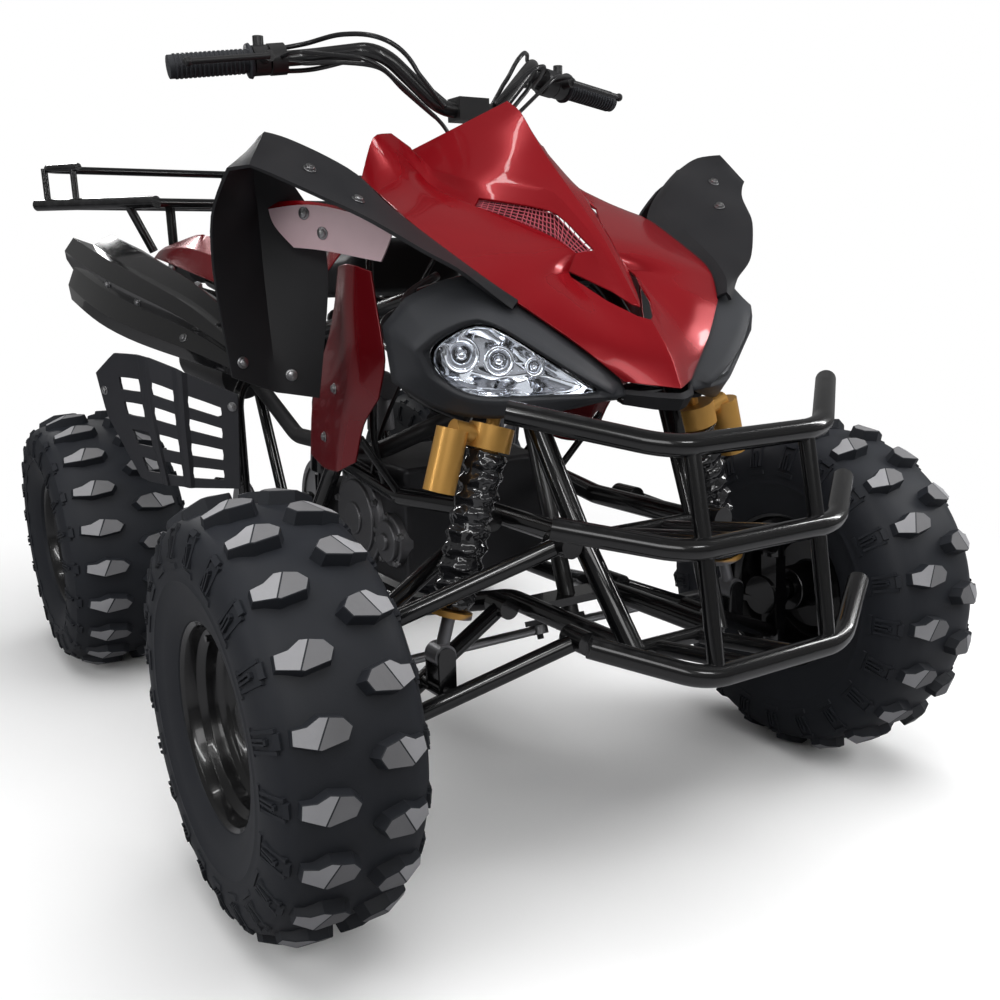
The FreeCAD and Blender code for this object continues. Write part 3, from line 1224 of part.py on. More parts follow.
def foot_guard():
    """Left-hand foot guard with three columns of slots."""
    coarse = [[body_point(shares) for shares in row] for row in GUARD_SHARES]
    grid = [[between(coarse, down, across) for across in GUARD_ACROSS_SHARES]
            for down in GUARD_DOWN_SHARES]
    slots = [(row, column) for row in range(1, len(GUARD_DOWN_SHARES) - 1, 2)
             for column in range(1, len(GUARD_ACROSS_SHARES) - 1, 2)]
    inner = [[point + GUARD_STEP for point in line] for line in grid]
    return shell_panel(grid, inner, open_cells=slots)


GUARD_STEP = Vector(-0.4, 1, 0) * PANEL
keep("foot_guard_left", foot_guard())
keep("foot_guard_right", mirrored(foot_guard()))


# Headlights: housing ring, clear lens and bright reflector behind it

def fan_plate(points, hub, step):
    """Plate through a loop of points and a hub point, as thick as one step."""
    back = [point + step for point in points]
    faces = []
    for a, b, c, d in zip(points, points[1:] + points[:1], back, back[1:] + back[:1]):
        faces += facets([a, b, hub])
        faces += facets([d, c, hub + step])
        faces += facets([a, b, d]) + facets([a, d, c])
    return closed_solid(faces)


def bowl(rings, step):
    """Faceted bowl through rings of points that shrink to a floor, as thick as one step."""
    faces = []
    backs = [[point + step for point in ring] for ring in rings]
    for ring, inner, back, back_inner in zip(rings, rings[1:], backs, backs[1:]):
        for k in range(len(ring)):
            n = (k + 1) % len(ring)
            faces += facets([ring[k], ring[n], inner[n]]) + facets([ring[k], inner[n], inner[k]])
            faces += facets([back[k], back_inner[n], back[n]])
            faces += facets([back[k], back_inner[k], back_inner[n]])
    edge, wall = rings[0], backs[0]
    for k in range(len(edge)):
        n = (k + 1) % len(edge)
        faces += facets([edge[k], edge[n], wall[n]]) + facets([edge[k], wall[n], wall[k]])
    for floor in (rings[-1], backs[-1]):
        hub = loop_middle(floor)
        for k in range(len(floor)):
            faces += facets([floor[k], floor[(k + 1) % len(floor)], hub])
    return closed_solid(faces)


def loop_middle(points):
    """Mean of a loop of points."""
    middle = Vector()
    for point in points:
        middle += point * (1 / len(points))
    return middle


LAMP_BACK = Vector(-0.5, 0.85, 0)
housing_loop = [body_point(shares) for shares in HOUSING_SHARES]
lens_loop = [body_point(shares) for shares in LENS_SHARES]
lens_middle = loop_middle(lens_loop)
LENS_FIT_SHARE, LAMP_FLOOR_SHARE = 0.993, 0.55
seat_step = LAMP_BACK * size("panel_thickness")


def housing():
    """Left-hand headlight surround, from its outer edge to the edge round the lens."""
    grid = [housing_loop, lens_loop]
    inner = [[p + seat_step * 1.3 for p in loop] for loop in grid]
    return shell_panel(grid, inner, closed=True)


def chin():
    """Black lip below the nose, between the two headlights."""
    rows = [[body_point(shares) for shares in NOSE_SHARES[-1]]]
    rows[0] = [p - Z_AXIS * (PANEL + 2 * size("running_gap")) for p in rows[0]]
    drop = Vector(0, 2 * PANEL, -4 * PANEL)
    rows.append([p + drop for p in rows[0]])
    full = [row + [Vector(-p.x, p.y, p.z) for p in reversed(row[:-1])] for row in rows]
    inner = [[p + Y_AXIS * PANEL for p in row] for row in full]
    return shell_panel(full, inner)


lens_edge = [lens_middle + (p - lens_middle) * LENS_FIT_SHARE for p in lens_loop]
bulge = LAMP_BACK * -size("lens_bulge")
reflector_edge = [p + LAMP_BACK * (size("lens_thickness") + 2 * size("running_gap")) for p in lens_edge]
reflector_middle = loop_middle(reflector_edge) + LAMP_BACK * size("reflector_depth")
reflector_floor = [reflector_middle + (p - loop_middle(reflector_edge)) * LAMP_FLOOR_SHARE
                   for p in reflector_edge]
lens_plate = fan_plate(lens_edge, loop_middle(lens_edge) + bulge, LAMP_BACK * size("lens_thickness"))
reflector = bowl([reflector_edge, reflector_floor], LAMP_BACK * size("lens_thickness"))
keep("headlight_housings", Part.makeCompound([housing(), mirrored(housing()), chin()]))
keep("headlight_lenses", pair(lens_plate))
keep("headlight_reflectors", pair(reflector))


# Rear carrier rack and tail light

RACK_SIDE_SHARES = [(0.655, 1.070, 0.955), (1.06, 1.415, 0.967)]
RACK_POST_SHARES = {
    "wide": [(0.749, 1.150, 0.958), (0.66, 1.150, 0.882)],
    "slim": [(0.50, 1.190, 0.956), (0.50, 1.190, 0.862)],
}
SLAT_SHARES = (0.22, 0.50)


def rack():
    """Open tube rack: splayed side rails, cross bars and a raised guard rail."""
    front, rear = [body_point(s) for s in RACK_SIDE_SHARES]
    rail, bar, guard = size("rack_rail_radius"), size("rack_bar_radius"), size("rack_guard_radius")
    stanchion = guard * 0.85
    side = rod(front, rear, rail)
    pieces = [side, mirrored(side)]
    for share in (0.15, 0.55, 1.0):
        spot = front + (rear - front) * share
        pieces.append(rod(Vector(-spot.x, spot.y, spot.z), spot, bar))
    lift = Z_AXIS * size("rack_guard_height")
    corner = front + (rear - front) * 0.97 + lift
    fore = front + (rear - front) * 0.60 + lift
    route = [Vector(-fore.x, fore.y, fore.z), Vector(-corner.x, corner.y, corner.z), corner, fore]
    pieces.append(tube(route, guard, 4 * guard))
    for share in (0.65, 0.90):
        spot = front + (rear - front) * share
        post = rod(spot, spot + lift, stanchion)
        pieces += [post, mirrored(post)]
    spot = Vector(0, corner.y, corner.z)
    pieces.append(rod(spot, Vector(0, rear.y, spot.z - size("rack_guard_height")), stanchion))
    near = front + (rear - front) * 0.15
    for share in SLAT_SHARES:
        x = share * size("body_half_width")
        slat = rod(Vector(x, near.y, near.z), Vector(x, rear.y, rear.z), stanchion)
        pieces += [slat, mirrored(slat)]
    tail = node_shape("rear_fenders")
    for post_shares, radius in ((RACK_POST_SHARES["slim"], bar * 1.1), (RACK_POST_SHARES["wide"], bar)):
        post = stay(*[body_point(s) for s in post_shares], radius, tail)
        pieces += [post, mirrored(post)]
    return pieces[0].fuse(pieces[1:])


keep("rear_rack", rack())
TAIL_LIGHT_SHARES = [
    [(-0.15, 1.2356, 0.832), (0.15, 1.2356, 0.832), (0.15, 1.2526, 0.798), (-0.15, 1.2526, 0.798)],
    [(-0.13, 1.258, 0.836), (0.13, 1.258, 0.836), (0.13, 1.272, 0.806), (-0.13, 1.272, 0.806)],
]
keep("tail_light", section_loft(TAIL_LIGHT_SHARES))


# Stays and brackets of the frame, which end a running gap before what they carry

STAY_SHARES = [
    ("nose_cover", (0.275, 0.110, 0.790), (0.28, 0.100, 0.900)),
    ("tank_cover", (0.2925, 0.420, 0.742), (0.28, 0.420, 0.915)),
    ("seat", (0.325, 0.640, 0.705), (0.29, 0.640, 0.800)),
    ("seat", (0.325, 0.960, 0.760), (0.30, 0.960, 0.850)),
    ("rear_fenders", (0.325, 0.900, 0.749), (0.75, 0.900, 0.800)),
    ("side_panels", (0.325, 1.030, 0.774), (0.56, 1.030, 0.850)),
    ("side_panels", (0.375, 0.280, 0.467), (0.59, 0.250, 0.580)),
    ("foot_guard_left", (0.6125, 0.735, 0.560), (0.78, 0.670, 0.560)),
    ("foot_guard_left", (0.6125, 0.735, 0.430), (0.78, 0.690, 0.450)),
    ("rear_fenders", (0.15, 1.150, 0.796), (0.15, 1.150, 0.850)),
    ("headlight_housings", (0.285, 0.039, 0.715), (0.46, -0.068, 0.752)),
]
frame_shape = main_frame()
frame_stays = []
for label, start, towards in STAY_SHARES:
    left_stay = stay(body_point(start), body_point(towards), size("stay_radius"), node_shape(label))
    frame_stays += [left_stay, mirrored(left_stay)]
keep("main_frame", frame_shape.fuse(frame_stays))


# Control cables, which run from the perches along the bar and down the column

def cable(side):
    """Cable beside the bar, from one perch to the foot of the column."""
    reach = size("bar_radius") + size("cable_radius") + size("moving_gap")
    left = [body_point(shares) for shares in CABLE_SHARES]
    box_middle = GRIP_END - GRIP_LINE * (size("grip_length") + 1.6 * size("perch_width"))
    left.insert(0, box_middle - Y_AXIS * (2 * size("bar_radius") + size("running_gap")))
    route = [Vector(side * p.x, p.y, p.z) for p in left]
    route.append(stem_point(size("cable_foot_z")) + X_AXIS * (side * 1.6 * reach))
    return tube(route, size("cable_radius"), size("cable_bend_radius"))


CABLE_SHARES = [(0.62, 0.360, 1.116), (0.40, 0.285, 1.100), (0.11, 0.275, 1.010)]
keep("control_cables", Part.makeCompound([cable(1), cable(-1)]))


# Checks and export

doc.recompute()
for obj in doc.Objects:
    if "Invalid" in obj.State or "Error" in obj.State:
        raise RuntimeError("failed object: " + obj.Label)
os.makedirs("parts", exist_ok=True)
bounds = FreeCAD.BoundBox()
for node in nodes:
    if node.Shape.isNull() or not node.Shape.isValid() or node.Shape.Volume <= 0:
        raise RuntimeError("bad shape: " + node.Label)
    bounds.add(node.Shape.BoundBox)
    node.Shape.exportStep("parts/" + node.Label + ".step")
print("nodes", len(nodes), "bounds", bounds)
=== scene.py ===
"""Looks of the sports quad bike: tyres, panels, lamps, springs, controls and small fittings."""
import json
import math
from collections import namedtuple

import bmesh
import bpy
from mathutils import Matrix, Vector, noise


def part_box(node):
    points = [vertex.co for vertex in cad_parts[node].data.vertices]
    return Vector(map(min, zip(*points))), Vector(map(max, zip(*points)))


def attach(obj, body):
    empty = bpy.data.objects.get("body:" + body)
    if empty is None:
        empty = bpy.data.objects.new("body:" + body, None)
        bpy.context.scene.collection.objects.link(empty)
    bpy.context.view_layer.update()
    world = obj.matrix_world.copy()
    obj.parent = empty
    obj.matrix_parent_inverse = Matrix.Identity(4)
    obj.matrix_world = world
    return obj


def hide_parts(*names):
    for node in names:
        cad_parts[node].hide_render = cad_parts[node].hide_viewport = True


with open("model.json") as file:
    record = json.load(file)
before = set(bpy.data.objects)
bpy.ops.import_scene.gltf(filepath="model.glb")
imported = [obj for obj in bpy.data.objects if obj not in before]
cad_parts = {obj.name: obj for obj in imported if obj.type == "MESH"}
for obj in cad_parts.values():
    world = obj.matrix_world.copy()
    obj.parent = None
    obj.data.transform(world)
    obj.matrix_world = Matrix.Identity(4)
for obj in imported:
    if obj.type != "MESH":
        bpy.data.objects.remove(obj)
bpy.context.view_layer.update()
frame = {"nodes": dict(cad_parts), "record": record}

bl_info = {
    "name": "Sports Quad Bike",
    "version": (1, 0, 0),
    "blender": (4, 5, 0),
    "location": "View3D > Sidebar > Quad Bike",
    "description": "Dresses the packed quad bike with its tyres, panels, lamps and fittings",
    "category": "Object",
}

SLOTS = {row["node"]: row["material_slot"] for row in frame["record"]["subparts"]}
MM = 0.001
FULL_TURN = 2 * math.pi
FRONT_AXLE_Y = -0.51475
SIGNS = (1, -1)
SIDES = (("left", 1), ("right", -1))
AHEAD = (0, -1, 0)
UP_AHEAD = (0, -0.5, 1)


# Settings

def number_setting(name, description, default, **kind):
    """Number, with its unit where it has one."""
    return bpy.props.FloatProperty(name=name, description=description, default=default, **kind)


def colour_setting(name, description, default):
    """Colour of a finish or of the floor."""
    return bpy.props.FloatVectorProperty(
        name=name, description=description, default=default, subtype="COLOR", size=3)


class QuadSizes(bpy.types.PropertyGroup):
    """Sizes of the pieces that are made here."""
    panel_thickness: number_setting(
        "Panel Thickness", "Wall of the moulded panels", 0.0035, unit="LENGTH")
    lug_height: number_setting(
        "Lug Height", "Height of the tread lugs over the carcass", 0.017, unit="LENGTH")
    lug_count: bpy.props.IntProperty(
        name="Lugs In A Row", description="Tread lugs in one row round a tyre", default=21)
    tyre_steps: bpy.props.IntProperty(
        name="Tyre Steps", description="Steps of a tyre's spin", default=105)
    spring_turns: number_setting("Spring Turns", "Turns of a front coil spring", 9.0)
    bolt_radius: number_setting(
        "Bolt Head Radius", "Radius of the panel bolts' heads", 0.0065, unit="LENGTH")


class QuadColours(bpy.types.PropertyGroup):
    """Colours of the finishes."""
    candy_red: colour_setting("Candy Red", "Lacquered body panels", (0.31, 0.0003, 0.006))
    deep_red: colour_setting("Deep Red", "Lower and rear side panels", (0.20, 0.0003, 0.005))
    fender_black: colour_setting("Fender Black", "Grained front fenders", (0.011, 0.011, 0.013))
    gloss_black: colour_setting(
        "Gloss Black", "Painted tubes and rear fenders", (0.003, 0.003, 0.0035))
    rubber: colour_setting("Rubber", "Tyres and grips", (0.018, 0.020, 0.025))
    # Lug tops: scuffed wear, made paler still as painted light on the tops
    worn_rubber: colour_setting("Worn Rubber", "Tops of the tread lugs", (0.24, 0.24, 0.25))
    gold: colour_setting("Gold", "Anodised dampers", (0.74, 0.40, 0.10))
    dust: colour_setting("Dust", "Dust on up-facing surfaces", (0.16, 0.15, 0.14))


class QuadStage(bpy.types.PropertyGroup):
    """Floor, light and camera."""
    floor_colour: colour_setting(
        "Floor", "Colour of the floor in reflections and bounced light", (0.30, 0.30, 0.31))
    floor_seen: colour_setting(
        "Floor Seen", "Colour of the floor where the camera sees it", (0.95, 0.95, 0.95))
    key_power: number_setting("Key Light", "Power of the light overhead", 125.0, unit="POWER")
    fill_power: number_setting("Fill Light", "Power of the lights at the sides", 34.0, unit="POWER")
    sky_strength: number_setting("Sky", "Strength of the even light around", 0.16)
    streak_power: number_setting(
        "Streaks", "Power of the narrow highlights, a square metre", 52.0, unit="POWER")
    lens: number_setting("Lens", "Focal length of the camera in millimetres", 38.506)


# Places and directions

def place(x, y, z):
    """Point given in millimetres by side, distance behind the front axle line, and height."""
    return Vector((x * MM, y * MM + FRONT_AXLE_Y, z * MM))


def frame_matrix(position, direction, roll_to=Vector((0, 0, 1))):
    """Matrix whose Z axis points along a direction, at a position."""
    z = direction.normalized()
    x = roll_to.cross(z)
    if x.length < 1e-5:
        x = Vector((1, 0, 0)).cross(z)
    x.normalize()
    y = z.cross(x)
    matrix = Matrix((x, y, z)).transposed().to_4x4()
    matrix.translation = position
    return matrix


def moved(x, y, z):
    """Matrix that only moves."""
    return Matrix.Translation((x, y, z))


def smooth_path(points, steps=8):
    """Evenly curved path through points."""
    spots = []
    padded = [points[0] * 2 - points[1], *points, points[-1] * 2 - points[-2]]
    for a, b, c, d in zip(padded, padded[1:], padded[2:], padded[3:]):
        for k in range(steps):
            t = k / steps
            spots.append(0.5 * (2 * b + (c - a) * t + (2 * a - 5 * b + 4 * c - d) * t * t
                                + (3 * b - a - 3 * c + d) * t ** 3))
    return spots + [points[-1]]


def way_at(spots, index):
    """Direction of a path at one of its points."""
    return (spots[min(index + 1, len(spots) - 1)] - spots[max(index - 1, 0)]).normalized()


def between(rows, down, across):
    """Place in a table of places, by shares of the way down and across."""
    i, j = down * (len(rows) - 1), across * (len(rows[0]) - 1)
    i0, j0 = min(int(i), len(rows) - 2), min(int(j), len(rows[0]) - 2)
    u, v = i - i0, j - j0
    upper = Vector(rows[i0][j0]).lerp(Vector(rows[i0][j0 + 1]), v)
    lower = Vector(rows[i0 + 1][j0]).lerp(Vector(rows[i0 + 1][j0 + 1]), v)
    return upper.lerp(lower, u)


def across_middle(rows):
    """Rows that run from the left edge to the middle, continued to the right edge."""
    return [row + [(-x, y, z) for x, y, z in reversed(row[:-1])] for row in rows]


# Pieces

def finish_mesh(name, bm, *kinds, smooth=True):
    """Turns a bmesh into a piece at the origin, with its finishes."""
    mesh = bpy.data.meshes.new(name)
    bm.to_mesh(mesh)
    bm.free()
    piece = bpy.data.objects.new(name, mesh)
    bpy.context.scene.collection.objects.link(piece)
    for kind in kinds:
        mesh.materials.append(paint(kind))
    mesh.polygons.foreach_set("use_smooth", [smooth] * len(mesh.polygons))
    return piece


def set_piece(piece, body, slot, *nodes):
    """Puts a piece on its body and hides the nodes that it stands for. The slot is not used."""
    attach(piece, body)
    if nodes:
        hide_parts(*nodes)


def modifier(piece, kind, **values):
    """Adds a modifier with its values."""
    added = piece.modifiers.new(kind.title(), kind)
    for key, value in values.items():
        setattr(added, key, value)


def subdivide(piece, levels, **values):
    """Subdivides a piece alike in the view and in the render."""
    modifier(piece, "SUBSURF", levels=levels, render_levels=levels, **values)


def round_edges(piece, width, segments, degrees, **values):
    """Rounds the edges that are sharper than an angle."""
    modifier(piece, "BEVEL", width=width, segments=segments, limit_method="ANGLE",
             angle_limit=math.radians(degrees), **values)


def even_normals(piece):
    """Lets large faces rule the shading of a piece."""
    modifier(piece, "WEIGHTED_NORMAL", keep_sharp=False, weight=60)


def dress_panel(piece, thickness, levels=2, edge=0.0012):
    """Smooth, thick panel with rounded edges."""
    subdivide(piece, levels, boundary_smooth="PRESERVE_CORNERS")
    modifier(piece, "SOLIDIFY", thickness=thickness, offset=-1.0, use_even_offset=False)
    round_edges(piece, edge, 2, 28, miter_outer="MITER_ARC")
    even_normals(piece)


# Shapes

def peg(bm, segments, radius, depth, matrix, tip=None):
    """Closed peg about a matrix's Z axis, with another radius at its tip where one is given."""
    bmesh.ops.create_cone(bm, cap_ends=True, segments=segments, radius1=radius,
                          radius2=radius if tip is None else tip, depth=depth, matrix=matrix)


def tube(bm, spots, radius, sides=12):
    """Closed round tube along a path."""
    roll = Vector((0.12, 0.31, 0.94)).normalized()
    rings = [bmesh.ops.create_circle(bm, segments=sides, radius=radius,
                                     matrix=frame_matrix(spot, way_at(spots, index), roll))["verts"]
             for index, spot in enumerate(spots)]
    for first, second in zip(rings, rings[1:]):
        for k in range(sides):
            after = (k + 1) % sides
            bm.faces.new((first[k], first[after], second[after], second[k]))
    bm.faces.new(list(reversed(rings[0])))
    bm.faces.new(rings[-1])


def closed_loop(bm, spots):
    """Vertices and edges of a closed line through places."""
    verts = [bm.verts.new(spot) for spot in spots]
    return verts, [bm.edges.new(ends) for ends in zip(verts, verts[1:] + verts[:1])]


def spin_section(bm, spots, steps):
    """Spins a closed section round a wheel's axis."""
    verts, edges = closed_loop(bm, spots)
    bmesh.ops.spin(bm, geom=verts + edges, cent=(0, 0, 0), axis=(1, 0, 0), angle=FULL_TURN,
                   steps=steps, use_merge=True)
    bmesh.ops.recalc_face_normals(bm, faces=bm.faces)


def crease_layer(bm):
    """Layer that holds how sharply each edge is folded."""
    layers = bm.edges.layers.float
    return layers.get("crease_edge") or layers.new("crease_edge")


def face_towards(bm, faces, outward):
    """Turns faces over where they look away from a direction, taken together."""
    bm.normal_update()
    facing = sum((face.normal * face.calc_area() for face in faces), Vector())
    if facing.dot(Vector(outward)) < 0:
        bmesh.ops.reverse_faces(bm, faces=faces)


def panel_patch(bm, rows, outward, open_cells=(), crease_columns=(), crease_rows=(), soft=0.0):
    """Adds a grid of faces through rows of places, facing outward, with creased lines."""
    columns = len(rows[0])
    verts = bmesh.ops.create_grid(bm, x_segments=columns - 1, y_segments=len(rows) - 1,
                                  size=1.0)["verts"]
    crease = crease_layer(bm)
    for vert, spot in zip(verts, [spot for row in rows for spot in row]):
        vert.co = place(*spot)
    where = {vert: divmod(index, columns) for index, vert in enumerate(verts)}
    faces = list({face for vert in verts for face in vert.link_faces})
    face_towards(bm, faces, outward)
    for edge in {edge for vert in verts for edge in vert.link_edges}:
        (i0, j0), (i1, j1) = (where[vert] for vert in edge.verts)
        sharp = (j0 == j1 and j0 in crease_columns) or (i0 == i1 and i0 in crease_rows)
        edge[crease] = 1.0 if sharp else soft
    doomed = []
    for face in faces:
        corners = [where[vert] for vert in face.verts]
        if (min(i for i, j in corners), min(j for i, j in corners)) in open_cells:
            doomed.append(face)
    if doomed:
        bmesh.ops.delete(bm, geom=doomed, context="FACES")


def side_patch(bm, rows, side, outward, **folds):
    """Adds a patch given for the left-hand side on the left or the right."""
    panel_patch(bm, [[(side * x, y, z) for x, y, z in row] for row in rows],
                (side * outward[0], *outward[1:]), **folds)


# Shader groups

def add_node(tree, kind, values=None, links=None):
    """Adds a node, sets values on it or its inputs, and links its inputs."""
    node = tree.nodes.new(kind)
    for key, value in (values or {}).items():
        if isinstance(key, int) or key in node.inputs:
            node.inputs[key].default_value = value
        else:
            setattr(node, key, value)
    for key, source in (links or {}).items():
        tree.links.new(source, node.inputs[key])
    return node


def calculate(tree, operation, first, second):
    """Result of a calculation with two sockets."""
    return add_node(tree, "ShaderNodeMath", {"operation": operation},
                    {0: first, 1: second}).outputs[0]


def stretch(tree, source, low, high, to_low=0.0, to_high=1.0, **values):
    """Socket whose values from low to high are stretched to another range."""
    return add_node(tree, "ShaderNodeMapRange", {1: low, 2: high, 3: to_low, 4: to_high, **values},
                    {0: source}).outputs[0]


def coordinates(tree, kind="Object"):
    """Object coordinates, or another output of their node."""
    return add_node(tree, "ShaderNodeTexCoord").outputs[kind]


def height_of(tree, where):
    """Upward part of a vector."""
    return add_node(tree, "ShaderNodeSeparateXYZ", links={0: where}).outputs["Z"]


def patches(tree, values, links=None):
    """Uneven patches that stay with the piece."""
    return add_node(tree, "ShaderNodeTexNoise", values,
                    {"Vector": coordinates(tree), **(links or {})}).outputs["Fac"]


def mix_colour(tree, factor, first, second):
    """Colour mix of two sockets or colours."""
    node = tree.nodes.new("ShaderNodeMix")
    node.data_type = "RGBA"
    tree.links.new(factor, node.inputs[0])
    for index, value in ((6, first), (7, second)):
        if isinstance(value, bpy.types.NodeSocket):
            tree.links.new(value, node.inputs[index])
        else:
            node.inputs[index].default_value = (*value, 1)
    return node.outputs[2]


def group_tree(name, inputs, outputs):
    """Empty shader node group with named number sockets."""
    tree = bpy.data.node_groups.new(name, "ShaderNodeTree")
    for label, default in inputs.items():
        socket = tree.interface.new_socket(
            name=label, in_out="INPUT", socket_type="NodeSocketFloat")
        socket.default_value = default
    for label in outputs:
        tree.interface.new_socket(name=label, in_out="OUTPUT", socket_type="NodeSocketFloat")
    return tree, tree.nodes.new("NodeGroupInput").outputs, tree.nodes.new("NodeGroupOutput").inputs


def dust_group():
    """Group that gives a patchy mask on surfaces facing up."""
    tree, given, result = group_tree("Settled Dust", {"Scale": 6.0, "Amount": 0.3}, ("Mask",))
    up = stretch(tree, height_of(tree, coordinates(tree, "Normal")), -0.2, 1.0, 0.12)
    patch = patches(tree, {"Detail": 6.0, "Roughness": 0.65}, {"Scale": given["Scale"]})
    both = calculate(tree, "MULTIPLY", up, stretch(tree, patch, 0.35, 0.75))
    tree.links.new(calculate(tree, "MULTIPLY", both, given["Amount"]), result["Mask"])
    return tree


def grain_group():
    """Group that gives the height of a moulded or cast grain, and a shade that varies with it."""
    tree, given, result = group_tree(
        "Surface Grain", {"Scale": 900.0, "Unevenness": 0.3}, ("Height", "Shade"))
    fine = patches(tree, {"Detail": 3.0, "Roughness": 0.6}, {"Scale": given["Scale"]})
    broad = patches(tree, {"Scale": 9.0, "Detail": 4.0})
    share = calculate(tree, "MULTIPLY", broad, given["Unevenness"])
    tree.links.new(calculate(tree, "ADD", fine, share), result["Height"])
    tree.links.new(broad, result["Shade"])
    return tree


def edge_group():
    """Group that gives a broken mask along worn edges."""
    tree, given, result = group_tree("Edge Wear", {"Amount": 0.3}, ("Mask",))
    shape = add_node(tree, "ShaderNodeNewGeometry")
    edge = stretch(tree, shape.outputs["Pointiness"], 0.54, 0.66)
    broken = stretch(tree, patches(tree, {"Scale": 60.0, "Detail": 5.0}), 0.4, 0.6)
    both = calculate(tree, "MULTIPLY", edge, broken)
    tree.links.new(calculate(tree, "MULTIPLY", both, given["Amount"]), result["Mask"])
    return tree


GROUP_MAKERS = {"dust": dust_group, "grain": grain_group, "edge": edge_group}
GROUPS = {}


def place_group(tree, name, **values):
    """Places a shared group in a material, and builds it on its first use."""
    if name not in GROUPS:
        GROUPS[name] = GROUP_MAKERS[name]()
    node = tree.nodes.new("ShaderNodeGroup")
    node.node_tree = GROUPS[name]
    for key, value in values.items():
        node.inputs[key].default_value = value
    return node.outputs


# Finishes

WORN_METAL = (0.25, 0.25, 0.26)
BARE_STEEL = (0.20, 0.20, 0.21)
STEEL_BELOW = 0.370
DUSTY_ROUGHNESS = 0.45
COAT_ROUGHNESS = 0.04


def new_material(name):
    """Material with its node tree and its shader."""
    material = bpy.data.materials.new(name)
    material.use_nodes = True
    return material, material.node_tree, material.node_tree.nodes["Principled BSDF"]


def bump(tree, shader, height, strength, depth):
    """Links a bump to a shader's normal."""
    node = add_node(tree, "ShaderNodeBump", {"Strength": strength, "Distance": depth},
                    {"Height": height})
    tree.links.new(node.outputs["Normal"], shader.inputs["Normal"])


def finish(name, colour, roughness, metallic=0.0, coat=0.0, specular=0.5,
           grain=(900.0, 0.10, 0.0002), dust=0.15, wear=0.0, spread=0.25, lift=1.0):
    """Material with grain, uneven colour, dust and edge wear over one base colour.

    The colour is three numbers or the name of a colour setting, and lift multiplies it. Spread
    is how much darker the uneven colour gets. The grain is its scale, strength and depth.
    """
    colours = bpy.context.scene.quad_colours
    if isinstance(colour, str):
        colour = getattr(colours, colour)
    bright = tuple(channel * lift for channel in colour)
    dark = tuple(channel * (1 - spread) for channel in bright)
    material, tree, shader = new_material(name)
    grained = place_group(tree, "grain", Scale=grain[0], Unevenness=0.3)
    dusty = place_group(tree, "dust", Scale=7.0, Amount=dust)
    base = mix_colour(tree, grained["Shade"], dark, bright)
    base = mix_colour(tree, dusty["Mask"], base, tuple(colours.dust))
    if wear:
        worn = place_group(tree, "edge", Amount=wear)
        base = mix_colour(tree, worn["Mask"], base, WORN_METAL)
    rough = stretch(tree, dusty["Mask"], 0.0, 1.0, roughness, min(1.0, roughness + DUSTY_ROUGHNESS))
    tree.links.new(base, shader.inputs["Base Color"])
    tree.links.new(rough, shader.inputs["Roughness"])
    bump(tree, shader, grained["Height"], grain[1], grain[2])
    shader.inputs["Metallic"].default_value = metallic
    shader.inputs["Coat Weight"].default_value = coat
    shader.inputs["Coat Roughness"].default_value = COAT_ROUGHNESS
    shader.inputs["Specular IOR Level"].default_value = specular
    return material


def candy_paint(name, colour):
    """Lacquered metallic red, with flakes under a clear coat."""
    return finish(name, colour, 0.26, metallic=0.45, coat=0.35, grain=(2600.0, 0.05, 0.00005),
                  dust=0.01, spread=0.15)


def scuffed_and_lit_rubber(name, lift):
    """Paler, rougher rubber of the lug tops, paler partly from scuffing and partly as painted
    light; a lift above one gives a brighter copy that paints a highlight.
    """
    return finish(name, "worn_rubber", 0.70, lift=lift, specular=0.25,
                  grain=(160.0, 0.5, 0.0006), dust=0.25, spread=0.55)


def gold_and_steel(name):
    """Gold dampers whose lower ends are bare steel."""
    gold = finish(name, "gold", 0.30, metallic=0.55, grain=(900.0, 0.06, 0.0001), dust=0.12,
                  spread=0.15)
    tree = gold.node_tree
    base = tree.nodes["Principled BSDF"].inputs["Base Color"]
    above = stretch(tree, height_of(tree, coordinates(tree)), STEEL_BELOW - 0.002,
                    STEEL_BELOW + 0.002)
    tree.links.new(mix_colour(tree, above, BARE_STEEL, base.links[0].from_socket), base)
    return gold


def clear_lens(name):
    """Clear moulded lens."""
    material, tree, shader = new_material(name)
    shader.inputs["Base Color"].default_value = (0.96, 0.98, 1.0, 1)
    shader.inputs["Roughness"].default_value = 0.02
    shader.inputs["IOR"].default_value = 1.45
    shader.inputs["Transmission Weight"].default_value = 1.0
    bump(tree, shader, patches(tree, {"Scale": 40.0, "Detail": 1.0}), 0.04, 0.001)
    return material


